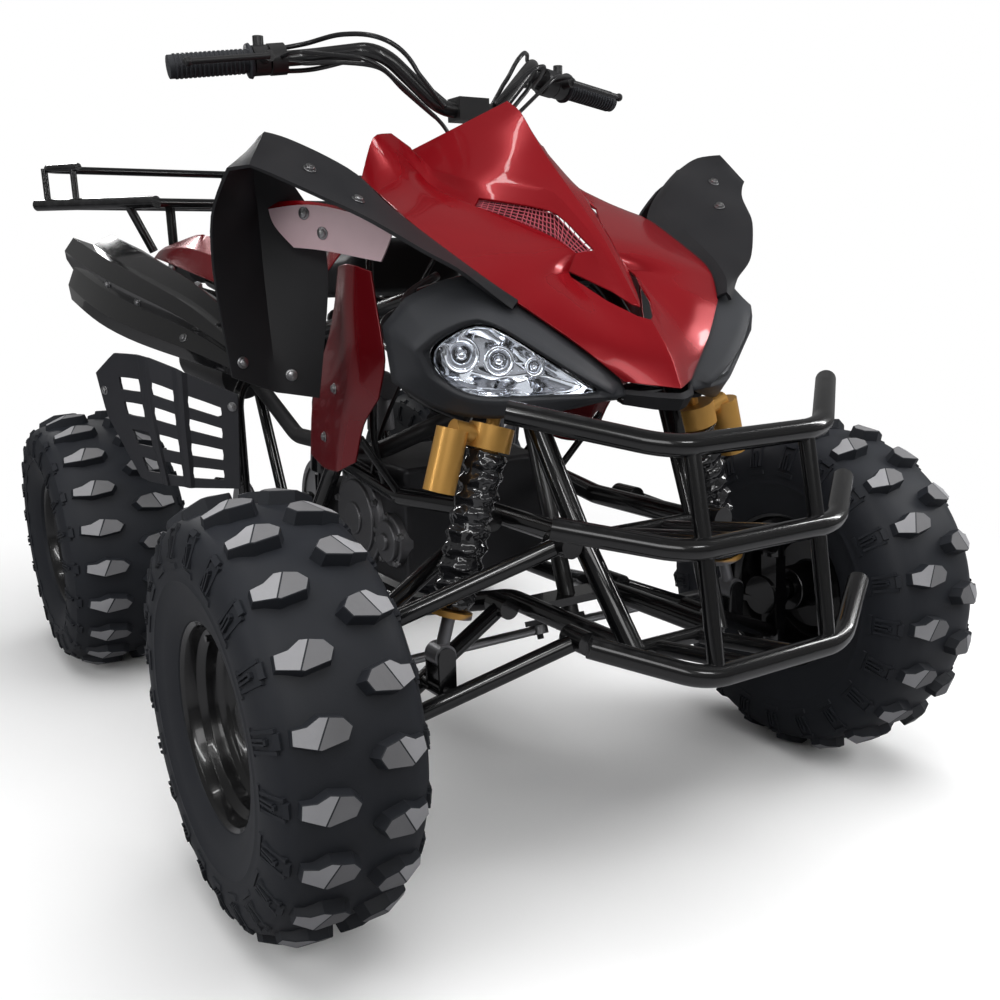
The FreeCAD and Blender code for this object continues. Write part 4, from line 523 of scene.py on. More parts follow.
FINISH_MAKERS = {
    "body_red": lambda name: candy_paint(name, "candy_red"),
    "side_red": lambda name: candy_paint(name, "deep_red"),
    "liner_red": lambda name: candy_paint(name, "candy_red"),
    # Lug tops and slopes are two copies of one rubber; the slopes' brighter copy is a painted
    # highlight
    "lug_tops": lambda name: scuffed_and_lit_rubber(name, 0.85),
    "lug_slopes": lambda name: scuffed_and_lit_rubber(name, 1.7),
    "damper_gold": gold_and_steel,
    "lamp_clear": clear_lens,
}
FINISH_VALUES = {
    "frame_black": dict(colour="gloss_black", roughness=0.20, coat=0.6, dust=0.02, wear=0.05,
                        grain=(260.0, 0.06, 0.0003)),
    "rim_black": dict(colour="gloss_black", roughness=0.24, coat=0.5, dust=0.03, wear=0.1,
                      grain=(300.0, 0.05, 0.0003)),
    "tail_black": dict(colour="gloss_black", roughness=0.14, coat=1.0, dust=0.02,
                       grain=(500.0, 0.06, 0.0002)),
    "body_black": dict(colour="fender_black", roughness=0.50, specular=0.35, dust=0.05,
                       grain=(1300.0, 0.35, 0.0003)),
    "tyre_rubber": dict(colour="rubber", roughness=0.55, specular=0.28, dust=0.05,
                        grain=(420.0, 0.25, 0.0004)),
    "grip_rubber": dict(colour="rubber", roughness=0.60, grain=(700.0, 0.3, 0.0003)),
    "engine_metal": dict(colour=(0.06, 0.06, 0.065), roughness=0.45, metallic=0.8, dust=0.3,
                         grain=(500.0, 0.35, 0.0005)),
    "cast_alloy": dict(colour=(0.20, 0.20, 0.21), roughness=0.42, metallic=0.85, dust=0.25,
                       wear=0.3, grain=(420.0, 0.5, 0.0006)),
    "exhaust_metal": dict(colour=(0.03, 0.03, 0.032), roughness=0.40, metallic=0.4, dust=0.2,
                          grain=(700.0, 0.2, 0.0003)),
    "plain_steel": dict(colour=(0.45, 0.45, 0.46), roughness=0.32, metallic=1.0, dust=0.2,
                        grain=(600.0, 0.10, 0.0002)),
    "spring_black": dict(colour=(0.016, 0.016, 0.018), roughness=0.14, coat=1.0, dust=0.02,
                         grain=(400.0, 0.06, 0.0002)),
    "bar_black": dict(colour=(0.010, 0.010, 0.011), roughness=0.28, coat=0.4, dust=0.12,
                      grain=(400.0, 0.08, 0.0002)),
    "control_black": dict(colour=(0.016, 0.016, 0.017), roughness=0.38, dust=0.12,
                          grain=(1100.0, 0.25, 0.0003)),
    "cable_black": dict(colour=(0.009, 0.009, 0.010), roughness=0.30, coat=0.3, dust=0.05,
                        grain=(500.0, 0.1, 0.0002)),
    "seat_cover": dict(colour=(0.010, 0.010, 0.011), roughness=0.48, specular=0.35, dust=0.04,
                       grain=(520.0, 0.5, 0.0006)),
    "guard_grey": dict(colour=(0.020, 0.021, 0.026), roughness=0.42, dust=0.2,
                       grain=(1300.0, 0.3, 0.0003)),
    "housing_grey": dict(colour=(0.034, 0.036, 0.041), roughness=0.46, specular=0.4, dust=0.05,
                         grain=(1300.0, 0.3, 0.0003)),
    "liner_pale": dict(colour=(0.78, 0.56, 0.60), roughness=0.50, spread=0.40, dust=0.1,
                       grain=(300.0, 0.2, 0.0002)),
    "grille_mesh": dict(colour=(0.62, 0.11, 0.15), roughness=0.40, metallic=0.3, dust=0.1,
                        grain=(800.0, 0.1, 0.0001)),
    # Dark sheet under the grille meshes: painted shade inside the nose
    "grille_back": dict(colour=(0.07, 0.001, 0.005), roughness=0.45, grain=(500.0, 0.2, 0.0002)),
    "lamp_bright": dict(colour=(0.86, 0.87, 0.90), roughness=0.07, metallic=1.0, dust=0.02,
                        spread=0.05, grain=(60.0, 0.05, 0.0004)),
    "tail_red": dict(colour=(0.45, 0.004, 0.006), roughness=0.12, coat=0.6,
                     grain=(300.0, 0.1, 0.0004)),
}
FINISHES = {}


def paint(kind):
    """Finish by its name, made on its first use."""
    if kind not in FINISHES:
        maker = FINISH_MAKERS.get(kind)
        FINISHES[kind] = maker(kind) if maker else finish(kind, **FINISH_VALUES[kind])
    return FINISHES[kind]


# Stage

CAMERA_PLACE = Vector((-0.91307, -1.19852 + FRONT_AXLE_Y, 0.80276))
CAMERA_AHEAD = Vector((0.5123, 0.8176, -0.2627))
CAMERA_RIGHT = Vector((0.8441, -0.5358, -0.0214))
CAMERA_SHIFT = (0.01038, 0.06434)
SENSOR_WIDTH = 36.0
FLOOR_HALF = 9.0
FLOOR_FADE = (0.9, 2.1)
WHITE = (1, 1, 1, 1)
# Name, setting of the power, share of it, place, target and size
LIGHTS = (
    ("key_light", "key_power", 1.0, (0.2, -0.4, 3.1), (0, 0, 0.5), (4.2, 3.2)),
    ("side_light_right", "fill_power", 1.0, (-2.9, -0.6, 1.7), (0, -0.1, 0.6), (1.8, 1.6)),
    ("side_light_left", "fill_power", 1.7, (2.8, -1.8, 1.5), (0, -0.1, 0.6), (1.6, 1.4)),
    ("front_light", "fill_power", 0.5, (-0.9, -3.4, 1.9), (0, 0, 0.5), (1.8, 1.0)),
)
# Narrow lights that show in glossy surfaces alone: name, place, target and size
STREAKS = (
    ("streak_right", (-1.6, -2.2, 2.2), (0, -0.3, 0.6), (0.16, 1.5)),
    ("streak_ahead", (0.9, -2.9, 2.0), (0, -0.3, 0.6), (0.5, 0.2)),
    ("streak_left", (2.4, -1.2, 1.8), (0, -0.3, 0.5), (0.2, 1.4)),
    ("streak_above", (-0.9, 0.1, 3.0), (0, 0, 0.6), (0.08, 1.0)),
    ("streak_low", (-2.6, -0.4, 1.2), (0, -0.2, 0.5), (0.08, 1.2)),
    ("streak_behind", (-0.4, 2.9, 2.2), (0, 0, 0.7), (0.9, 0.30)),
)


class QUAD_OT_stage(bpy.types.Operator):
    """Adds the floor, the lights, the world and the camera"""
    bl_idname = "quad.stage"
    bl_label = "Stage"

    def execute(self, context):
        stage = context.scene.quad_stage
        self.lay_floor(stage)
        for name, spot, target, size in STREAKS:
            power = stage.streak_power * size[0] * size[1]
            lamp = self.add_light(context, name, power, spot, target, size)
            lamp.visible_diffuse = False
        for name, setting, share, spot, target, size in LIGHTS:
            power = getattr(stage, setting) * share
            lamp = self.add_light(context, name, power, spot, target, size)
            lamp.visible_glossy = name == "front_light"
        context.scene.view_settings.view_transform = "Standard"
        self.make_world(context, stage)
        self.make_camera(context, stage)
        return {"FINISHED"}

    def lay_floor(self, stage):
        """Pale floor that fades to white away from the machine, for the camera alone."""
        bm = bmesh.new()
        bmesh.ops.create_grid(bm, x_segments=2, y_segments=2, size=FLOOR_HALF)
        FINISHES["floor"], tree, shader = new_material("floor")
        seen = tree.nodes.new("ShaderNodeLightPath").outputs["Is Camera Ray"]
        tree.links.new(mix_colour(tree, seen, tuple(stage.floor_colour), tuple(stage.floor_seen)),
                       shader.inputs["Base Color"])
        shader.inputs["Roughness"].default_value = 0.9
        shader.inputs["Specular IOR Level"].default_value = 0.1
        reach = add_node(tree, "ShaderNodeVectorMath", {"operation": "LENGTH"},
                         {0: coordinates(tree)}).outputs["Value"]
        far = stretch(tree, reach, *FLOOR_FADE, interpolation_type="SMOOTHSTEP")
        white = add_node(tree, "ShaderNodeEmission", {"Color": WHITE, "Strength": 1.0})
        both = add_node(tree, "ShaderNodeMixShader", links={
            0: calculate(tree, "MULTIPLY", far, seen), 1: shader.outputs[0], 2: white.outputs[0]})
        tree.links.new(both.outputs[0], tree.nodes["Material Output"].inputs["Surface"])
        finish_mesh("studio_floor", bm, "floor", smooth=False)

    def add_light(self, context, name, power, spot, target, size):
        """Rectangular light that looks at a place."""
        data = bpy.data.lights.new(name, "AREA")
        data.energy = power
        data.shape = "RECTANGLE"
        data.size, data.size_y = size
        lamp = bpy.data.objects.new(name, data)
        context.scene.collection.objects.link(lamp)
        lamp.matrix_world = frame_matrix(Vector(spot), Vector(spot) - Vector(target))
        return lamp

    def make_world(self, context, stage):
        """Even light around, with a white background for the camera, also through glass."""
        world = bpy.data.worlds.new("studio")
        context.scene.world = world
        world.use_nodes = True
        tree = world.node_tree
        tree.nodes.clear()
        path = tree.nodes.new("ShaderNodeLightPath").outputs
        seen = calculate(tree, "MAXIMUM", path["Is Camera Ray"], path["Is Transmission Ray"])
        strength = stretch(tree, seen, 0.0, 1.0, stage.sky_strength, 1.0)
        sky = add_node(tree, "ShaderNodeBackground", {"Color": WHITE}, {"Strength": strength})
        out = tree.nodes.new("ShaderNodeOutputWorld")
        tree.links.new(sky.outputs[0], out.inputs["Surface"])

    def make_camera(self, context, stage):
        """Camera at the photograph's place."""
        data = bpy.data.cameras.new("camera")
        data.lens = stage.lens
        data.sensor_width = SENSOR_WIDTH
        data.shift_x, data.shift_y = CAMERA_SHIFT
        camera = bpy.data.objects.new("camera", data)
        context.scene.collection.objects.link(camera)
        back = -CAMERA_AHEAD.normalized()
        right = CAMERA_RIGHT.normalized()
        up = back.cross(right).normalized()
        matrix = Matrix((right, up, back)).transposed().to_4x4()
        matrix.translation = CAMERA_PLACE
        camera.matrix_world = matrix
        context.scene.camera = camera


# Wheels

Wheel = namedtuple("Wheel", "key side body radius wider")
WHEELS = (
    Wheel("front_left", 1, "wheel_front_left", 0.279, 0),
    Wheel("front_right", -1, "wheel_front_right", 0.279, 0),
    Wheel("rear_left", 1, "rear_axle", 0.270, 20),
    Wheel("rear_right", -1, "rear_axle", 0.270, 20),
)
# The solid tyres stand on the flat top of a lug, so their axles are a little lower
STANDING_SHARE = math.cos(0.36 * FULL_TURN / 42)


def wheel_middle(wheel):
    """Middle of a wheel on its axle, and the width of its tyre."""
    low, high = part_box("tyre_" + wheel.key)
    middle = Vector(((low.x + high.x) / 2, (low.y + high.y) / 2, wheel.radius * STANDING_SHARE))
    return middle, high.x - low.x


# Tyres

# Finishes of a tyre: rubber, lug tops, and the sloping facets, whose brighter finish is a painted
# highlight
RUBBER, LUG_TOP, LUG_SLOPE_HIGHLIGHT = range(3)
BEAD_RADIUS = 0.127
LUG_SINK, LUG_TAPER, LUG_EDGE = 0.004, 0.84, 0.0009
LUG_FALL = 0.275
LUG_FALL_WAY = Vector((0.894, 0.447, 0))
LUG_FACET_ANGLE = 26
FINGER_RISE, SHOULDER_RISE = 0.0042, 0.0018
BAR_SINK, BAR_TAPER = 0.001, 0.9
# Half the outer line, by shares of the width and of the height over the bead
TYRE_SECTION = [
    (0.0, 1.0), (0.2, 0.992), (0.33, 0.965), (0.41, 0.915), (0.463, 0.83), (0.49, 0.71),
    (0.5, 0.58), (0.4985, 0.49), (0.4955, 0.455), (0.4985, 0.435), (0.4985, 0.415), (0.489, 0.395),
    (0.47, 0.25), (0.445, 0.12), (0.415, 0.035), (0.375, 0.0),
]
# Outline of a lug, by shares of the width and of the pitch
LUG_SHAPE = [
    (0.03, -0.01), (0.075, -0.2), (0.25, -0.27), (0.405, -0.13), (0.395, 0.12), (0.315, 0.13),
    (0.23, 0.235), (0.085, 0.15),
]
# Inner, outer, near and far sides of the flat bars, by the same shares
FINGER_BARS = [
    (0.45, 0.66, -0.215, -0.15), (0.45, 0.66, 0.1, 0.165), (0.43, 0.475, -0.15, 0.1),
    (0.53, 0.66, -0.08, -0.035), (0.53, 0.66, 0.0, 0.045), (0.515, 0.54, -0.06, 0.025),
]
SHOULDER_BARS = [(0.68, 0.72, -0.3, 0.24)]


class SectionLine:
    """Outer line of a tyre's half section, read by its length from the middle of the tread."""

    def __init__(self, width, carcass):
        self.carcass = carcass
        self.points = [Vector((u * width, BEAD_RADIUS + share * (carcass - BEAD_RADIUS)))
                       for u, share in TYRE_SECTION]
        self.lengths = [0.0]
        for a, b in zip(self.points, self.points[1:]):
            self.lengths.append(self.lengths[-1] + (b - a).length)

    def at(self, run):
        """Point and outward normal at a length from the middle of the tread."""
        run = min(max(run, 0.0), self.lengths[-1] - 1e-6)
        index = max(i for i, value in enumerate(self.lengths) if value <= run)
        a, b = self.points[index], self.points[index + 1]
        way = (b - a).normalized()
        return a + way * (run - self.lengths[index]), Vector((-way.y, way.x))


def tread_block(bm, outline, height, sink, taper):
    """Block over a flat outline, with a smaller top. Gives the top's vertices and faces."""
    face = bm.faces.new([bm.verts.new((a, b, -sink)) for a, b in outline])
    raised = bmesh.ops.extrude_face_region(bm, geom=[face])["geom"]
    top = [item for item in raised if isinstance(item, bmesh.types.BMVert)]
    caps = [item for item in raised if isinstance(item, bmesh.types.BMFace)]
    bmesh.ops.translate(bm, verts=top, vec=(0, 0, height + sink))
    middle = sum((vert.co for vert in top), Vector()) / len(top)
    bmesh.ops.scale(bm, verts=top, vec=(taper, taper, 1), space=Matrix.Translation(-middle))
    return top, caps, middle


def slope_top(bm, top, caps, middle):
    """Lets the outer part of a lug's top fall away, in a finish of its own: a brighter copy of the
    top's rubber that paints a highlight on it.
    """
    for cap in caps:
        cap.material_index = LUG_TOP
    edges = list({edge for cap in caps for edge in cap.edges})
    cut = bmesh.ops.bisect_plane(bm, geom=caps + edges + top, plane_co=middle,
                                 plane_no=(1, 0.5, 0))["geom_cut"]
    for vert in {*top, *(item for item in cut if isinstance(item, bmesh.types.BMVert))}:
        beyond = (vert.co - middle).dot(LUG_FALL_WAY)
        if beyond > 0.0001:
            vert.co.z -= beyond * LUG_FALL
    for face in bm.faces:
        beyond = (face.calc_center_median() - middle).dot(LUG_FALL_WAY)
        if face.material_index == LUG_TOP and beyond > 0.001:
            face.material_index = LUG_SLOPE_HIGHLIGHT


def tread_pattern(width, pitch, height):
    """One pitch of the tread on a flat sheet: across, along and up."""
    bm = bmesh.new()
    outline = [(a * width, b * pitch) for a, b in LUG_SHAPE]
    slope_top(bm, *tread_block(bm, outline, height, LUG_SINK, LUG_TAPER))
    edges = [edge for edge in bm.edges if all(vert.co.z > 0 for vert in edge.verts)]
    rounded = bmesh.ops.bevel(bm, geom=edges, offset=LUG_EDGE, segments=1, affect="EDGES",
                              profile=0.5, material=-1)["faces"]
    for face in rounded:
        face.material_index = RUBBER
    for bars, rise in ((FINGER_BARS, FINGER_RISE), (SHOULDER_BARS, SHOULDER_RISE)):
        for a0, a1, b0, b1 in bars:
            corners = ((a0, b0), (a1, b0), (a1, b1), (a0, b1))
            tread_block(bm, [(a * width, b * pitch) for a, b in corners], rise, BAR_SINK, BAR_TAPER)
    mesh = bpy.data.meshes.new("tread_pattern")
    bm.to_mesh(mesh)
    bm.free()
    return mesh


class QUAD_OT_tyres(bpy.types.Operator):
    """Adds the four knobbly tyres"""
    bl_idname = "quad.tyres"
    bl_label = "Tyres"

    def execute(self, context):
        sizes = context.scene.quad_sizes
        for wheel in WHEELS:
            middle, width = wheel_middle(wheel)
            bm = self.make_tyre(sizes, width, wheel.radius)
            bmesh.ops.transform(bm, matrix=Matrix.Translation(middle), verts=bm.verts)
            piece = finish_mesh("tread_" + wheel.key, bm, "tyre_rubber", "lug_tops", "lug_slopes")
            modifier(piece, "EDGE_SPLIT", split_angle=math.radians(LUG_FACET_ANGLE))
            set_piece(piece, wheel.body, "tyre_rubber", "tyre_" + wheel.key)
        return {"FINISHED"}

    def make_tyre(self, sizes, width, radius):
        """Tyre with a row of lugs, fingers and a ring on each side."""
        carcass = radius - sizes.lug_height
        line = SectionLine(width, carcass)
        half = [(point.x, 0, point.y) for point in line.points]
        bm = bmesh.new()
        spin_section(bm, half + [(-u, 0, r) for u, _, r in reversed(half[1:])], sizes.tyre_steps)
        pattern = tread_pattern(width, FULL_TURN * carcass / sizes.lug_count, sizes.lug_height)
        for side, start in ((1, 0.25), (-1, 0.75)):
            for k in range(sizes.lug_count):
                self.wrap(bm, pattern, line, side, (k + start) * FULL_TURN / sizes.lug_count)
        bpy.data.meshes.remove(pattern)
        for vert in [vert for vert in bm.verts if vert.co.yz.length > radius]:
            vert.co.yz = vert.co.yz * (radius / vert.co.yz.length)
        bmesh.ops.recalc_face_normals(bm, faces=bm.faces)
        return bm

    def wrap(self, bm, pattern, line, side, turn):
        """Lays one pitch of the tread on the carcass."""
        first = len(bm.verts)
        bm.from_mesh(pattern)
        bm.verts.ensure_lookup_table()
        for vert in bm.verts[first:]:
            spot, normal = line.at(vert.co.x)
            spot = spot + normal * vert.co.z
            angle = turn + vert.co.y / line.carcass
            vert.co = (side * spot.x, spot.y * math.sin(angle), spot.y * math.cos(angle))


# Rims

# Section of a front rim, in millimetres along the axle and from it
RIM_SECTION = [
    (71, 128.5), (74, 139), (78, 140), (80, 137), (78, 132), (73, 125), (66, 122.5), (58, 121),
    (54, 116), (50, 111.5), (42, 110), (36, 108.5), (33, 103), (30, 99), (26, 97), (22, 92),
    (6, 79), (3.5, 74), (3.5, 46), (7, 41), (24, 39.5), (26, 37), (26, 19), (24, 17.5),
    (-58, 17.5), (-60, 20), (-60, 35), (-58, 37), (-2, 38), (-0.5, 44), (-0.5, 76), (4, 83),
    (19, 96), (18, 104), (10, 107.5), (-36, 108.5), (-50, 111.5), (-54, 116), (-58, 121),
    (-66, 122.5), (-73, 125), (-78, 132), (-80, 137), (-78, 140), (-74, 139), (-71, 128.5),
    (-62, 126), (-56, 121), (-51, 115.5), (-44, 113.5), (44, 113.5), (51, 115.5), (56, 121),
    (62, 126),
]
RIM_STEPS = 72
RIM_STRETCH_FROM = 40
VALVE_PLACE = (0.066, 0.113)
NUT_COUNT = 4
NUT_CIRCLE = 0.058
NUT_SEAT = 0.0035
# Washer, nut and stud: radius, depth, distance from the seat and sides
NUT_PARTS = ((0.0125, 0.003, 0.0, 24), (0.0098, 0.014, 0.008, 6), (0.0055, 0.010, 0.018, 16))
ALONG_AXLE = Matrix.Rotation(math.radians(90), 4, "Y")


class QUAD_OT_rims(bpy.types.Operator):
    """Adds the stepped rims with their wheel nuts and valves"""
    bl_idname = "quad.rims"
    bl_label = "Rims"

    def execute(self, context):
        for wheel in WHEELS:
            at_wheel = Matrix.Translation(wheel_middle(wheel)[0])
            rim, nuts = bmesh.new(), bmesh.new()
            self.turn_rim(rim, wheel.side, wheel.wider)
            self.add_nuts(nuts, wheel.side)
            for bm in (rim, nuts):
                bmesh.ops.transform(bm, matrix=at_wheel, verts=bm.verts)
            piece = finish_mesh("rim_skin_" + wheel.key, rim, "rim_black")
            round_edges(piece, 0.0012, 2, 20)
            even_normals(piece)
            set_piece(piece, wheel.body, "rim_black", "rim_" + wheel.key)
            piece = finish_mesh("wheel_nuts_" + wheel.key, nuts, "plain_steel")
            round_edges(piece, 0.0006, 2, 25)
            even_normals(piece)
            set_piece(piece, wheel.body, "plain_steel")
        return {"FINISHED"}

    def turn_rim(self, bm, side, wider):
        """Rim with its valve, whose outer parts stand wider apart at the rear."""
        section = [(u + math.copysign(wider, u) if abs(u) > RIM_STRETCH_FROM else u, r)
                   for u, r in RIM_SECTION]
        spin_section(bm, [(u * side * MM, 0, r * MM) for u, r in section], RIM_STEPS)
        out, up = VALVE_PLACE
        peg(bm, 12, 0.0045, 0.022, moved(side * (out + wider * MM), 0, up) @ ALONG_AXLE, 0.0035)

    def add_nuts(self, bm, side):
        """Hexagon nuts on their washers, with the studs' ends."""
        for k in range(NUT_COUNT):
            turn = Matrix.Rotation(FULL_TURN / 8 + k * FULL_TURN / NUT_COUNT, 4, "X")
            base = turn @ moved(side * NUT_SEAT, 0, NUT_CIRCLE)
            for radius, depth, out, segments in NUT_PARTS:
                peg(bm, segments, radius, depth, base @ moved(side * out, 0, 0) @ ALONG_AXLE)


# Moulded panels, by places in millimetres on the left-hand side, as in the part's source

NOSE_ROWS = [
    [(181, 300, 941), (154, 312, 1004), (120, 316, 1007), (102, 292, 986), (95, 300, 983),
     (0, 183, 1041)],
    [(185, 228, 910), (142, 240, 942), (110, 228, 925), (101, 235, 938), (94, 240, 951),
     (0, 150, 1024)],
    [(211, 127, 883), (160, 115, 888), (105, 110, 892), (95, 115, 903), (88, 147, 931),
     (0, 115, 985)],
    [(207, 50, 845), (140, 45, 858), (67, 51, 868), (54, 57, 890), (52, 88, 920), (0, 80, 950)],
    [(201, -17, 812), (125, -10, 832), (45, 0, 845), (31, 22, 880), (23, 40, 911), (0, 35, 912)],
    [(190, -45, 797), (115, -38, 815), (34, -26, 826), (19, -45, 829), (10, -45, 838),
     (0, -45, 840)],
    [(181, -61, 784), (112, -60, 796), (50, -32, 803), (20, -85, 776), (8, -108, 761),
     (0, -117, 757)],
    [(158, -93, 760), (100, -95, 770), (54, -42, 796), (36, -94, 766), (14, -128, 747),
     (0, -138, 742)],
    [(110, -130, 718), (78, -135, 722), (50, -145, 722), (25, -160, 712), (8, -172, 703),
     (0, -176, 701)],
    [(57, -156, 669), (47, -166, 667), (35, -175, 665), (20, -185, 663), (8, -193, 661),
     (0, -197, 660)],
]
NOSE_OPEN = {(6, 2), (6, 3), (6, 4), (6, 5), (6, 6), (6, 7),
             (2, 2), (3, 2), (4, 2), (2, 7), (3, 7), (4, 7)}
FENDER_ROWS = [
    [(166, -76, 758), (173, -92, 767), (180, -91, 759)],
    [(180, -50, 771), (195, -72, 786), (211, -70, 785)],
    [(198, -12, 798), (213, -26, 815), (242, -66, 807)],
    [(205, 52, 831), (224, 42, 849), (268, -46, 823)],
    [(210, 130, 868), (240, 122, 892), (319, 5, 866)],
    [(254, 148, 910), (268, 134, 928), (342, 42, 884)],
    [(300, 170, 938), (314, 157, 955), (370, 85, 906)],
    [(338, 196, 952), (352, 166, 971), (398, 112, 924)],
    [(352, 212, 955), (384, 150, 974), (415, 126, 933)],
    [(320, 225, 925), (385, 200, 958), (428, 165, 932)],
    [(274, 236, 868), (352, 275, 890), (432, 240, 885)],
    [(272, 226, 800), (352, 272, 800), (430, 252, 800)],
    [(292, 244, 634), (352, 252, 646), (417, 247, 672)],
]
TANK_ROWS = [
    [(188, 330, 860), (164, 335, 930), (110, 335, 950), (0, 338, 935)],
    [(200, 400, 810), (172, 405, 885), (112, 420, 920), (0, 430, 925)],
    [(188, 480, 790), (156, 485, 840), (96, 490, 875), (0, 498, 885)],
]
LINER_ROWS = [
    [(352, 268, 900), (318, 215, 905), (282, 165, 893), (240, 112, 872)],
    [(346, 252, 893), (312, 198, 899), (278, 146, 886), (238, 98, 862)],
    [(344, 250, 872), (308, 194, 866), (270, 136, 858), (240, 102, 846)],
    [(322, 230, 842), (300, 188, 838), (268, 138, 826), (250, 112, 820)],
]
LINER_RIM = 1
SHROUD_ROWS = [
    [(244, 262, 816), (249, 225, 820), (247, 195, 816), (238, 168, 808)],
    [(238, 290, 772), (250, 240, 770), (249, 205, 762), (236, 158, 748)],
    [(232, 330, 720), (247, 262, 712), (252, 200, 700), (236, 140, 690)],
    [(232, 380, 664), (244, 300, 650), (248, 235, 640), (234, 172, 634)],
    [(230, 425, 600), (240, 345, 588), (244, 275, 590), (232, 232, 592)],
    [(226, 450, 520), (236, 375, 506), (240, 315, 510), (230, 268, 530)],
]
SIDE_ROWS = [
    [(168, 700, 840), (184, 850, 858), (196, 1000, 895), (208, 1130, 880), (216, 1200, 872)],
    [(190, 695, 812), (212, 850, 838), (226, 1000, 866), (234, 1130, 866), (230, 1203, 862)],
    [(208, 690, 770), (228, 850, 795), (240, 1000, 822), (244, 1130, 842), (240, 1205, 850)],
]
REAR_FENDER_ROWS = [
    [(240, 660, 700), (252, 650, 708), (262, 642, 694), (272, 632, 690), (284, 620, 680),
     (278, 618, 668), (290, 616, 652), (286, 615, 640)],
    [(248, 750, 765), (272, 750, 778), (288, 750, 757), (308, 750, 758), (326, 747, 738),
     (314, 746, 716), (332, 745, 686), (326, 745, 662)],
    [(256, 900, 800), (292, 900, 822), (318, 900, 797), (350, 898, 806), (376, 896, 782),
     (360, 895, 752), (382, 894, 716), (375, 894, 688)],
    [(260, 1050, 832), (312, 1050, 862), (346, 1050, 836), (386, 1050, 850), (410, 1047, 822),
     (393, 1046, 790), (415, 1044, 752), (409, 1044, 722)],
    [(264, 1205, 866), (322, 1210, 896), (362, 1212, 878), (400, 1213, 892), (420, 1214, 866),
     (405, 1213, 834), (421, 1212, 798), (418, 1212, 768)],
    [(270, 1245, 852), (324, 1250, 872), (362, 1252, 862), (396, 1250, 866), (412, 1246, 850),
     (400, 1244, 826), (414, 1240, 796), (412, 1238, 776)],
]
TAIL_ROWS = [
    [(200, 1110, 835), (100, 1110, 825), (0, 1110, 820)],
    [(208, 1215, 850), (100, 1225, 845), (0, 1230, 842)],
    [(200, 1240, 800), (100, 1252, 795), (0, 1256, 790)],
]
CHIN_ROWS = [
    [(60, -148, 660), (28, -182, 656), (0, -197, 654)],
    [(58, -156, 654), (28, -190, 650), (0, -204, 647)],
    [(54, -150, 640), (26, -180, 634), (0, -194, 632)],
    [(46, -128, 642), (24, -140, 636), (0, -146, 634)],
]


class QUAD_OT_panels(bpy.types.Operator):
    """Adds the red and black moulded panels"""
    bl_idname = "quad.panels"
    bl_label = "Panels"

    def execute(self, context):
        wall = context.scene.quad_sizes.panel_thickness
        bm = bmesh.new()
        panel_patch(bm, across_middle(NOSE_ROWS), UP_AHEAD, NOSE_OPEN,
                    crease_columns=(2, 3, 4, 5, 6, 7, 8), crease_rows=(0, 6, 7, 9), soft=0.3)
        self.add("nose_skin", bm, wall, "nose_cover", "body_red")
        bm = bmesh.new()
        panel_patch(bm, across_middle(TANK_ROWS), (0, 0, 1), crease_columns=(1, 5))
        self.add("tank_skin", bm, wall, "tank_cover", "body_red")
        for label, side in SIDES:
            bm = bmesh.new()
            side_patch(bm, FENDER_ROWS, side, (0.4, -1, 0.6), crease_columns=(1,),
                       crease_rows=(8, 9), soft=0.2)
            self.add("fender_skin_" + label, bm, wall * 1.3, "front_fender_" + label, "body_black")
        bm = bmesh.new()
        for side in SIGNS:
            side_patch(bm, LINER_ROWS, side, (0.3, -1, 0.3), crease_rows=(LINER_RIM,))
        self.shade_faces(bm, LINER_ROWS, LINER_RIM)
        self.add("liner_skins", bm, wall, "fender_liners", "liner_red", "liner_pale")
        bm = bmesh.new()
        panel_patch(bm, across_middle(CHIN_ROWS), AHEAD, crease_rows=(1, 2), soft=0.5)
        self.add("chin_skin", bm, wall, None, "body_black")
        bm = bmesh.new()
        for side in SIGNS:
            side_patch(bm, SHROUD_ROWS, side, (1, -0.3, 0), crease_columns=(2,), crease_rows=(3,),
                       soft=0.3)
            side_patch(bm, SIDE_ROWS, side, (1, 0, 0.8), crease_rows=(1,), soft=0.3)
        self.add("side_skins", bm, wall, "side_panels", "side_red")
        bm = bmesh.new()
        for side in SIGNS:
            side_patch(bm, REAR_FENDER_ROWS, side, (0.5, 0, 1), crease_columns=(1, 2, 3, 4, 5, 6),
                       crease_rows=(4,), soft=0.1)
        panel_patch(bm, across_middle(TAIL_ROWS), (0, 0.5, 1), crease_rows=(1,))
        self.add("rear_skins", bm, wall, "rear_fenders", "tail_black")
        return {"FINISHED"}

    def shade_faces(self, bm, rows, rim):
        """Gives the second finish to the faces below a row."""
        columns = len(rows[0]) - 1
        per_side = columns * (len(rows) - 1)
        for index, face in enumerate(sorted(bm.faces, key=lambda face: face.index)):
            if (index % per_side) // columns >= rim:
                face.material_index = 1

    def add(self, name, bm, wall, node, *kinds):
        """Dresses one panel and puts it on the chassis, in place of its node where it has one."""
        piece = finish_mesh(name, bm, *kinds)
        dress_panel(piece, wall)
        if node:
            set_piece(piece, "chassis", SLOTS[node], node)
        else:
            set_piece(piece, "chassis", kinds[0])


# Headlights

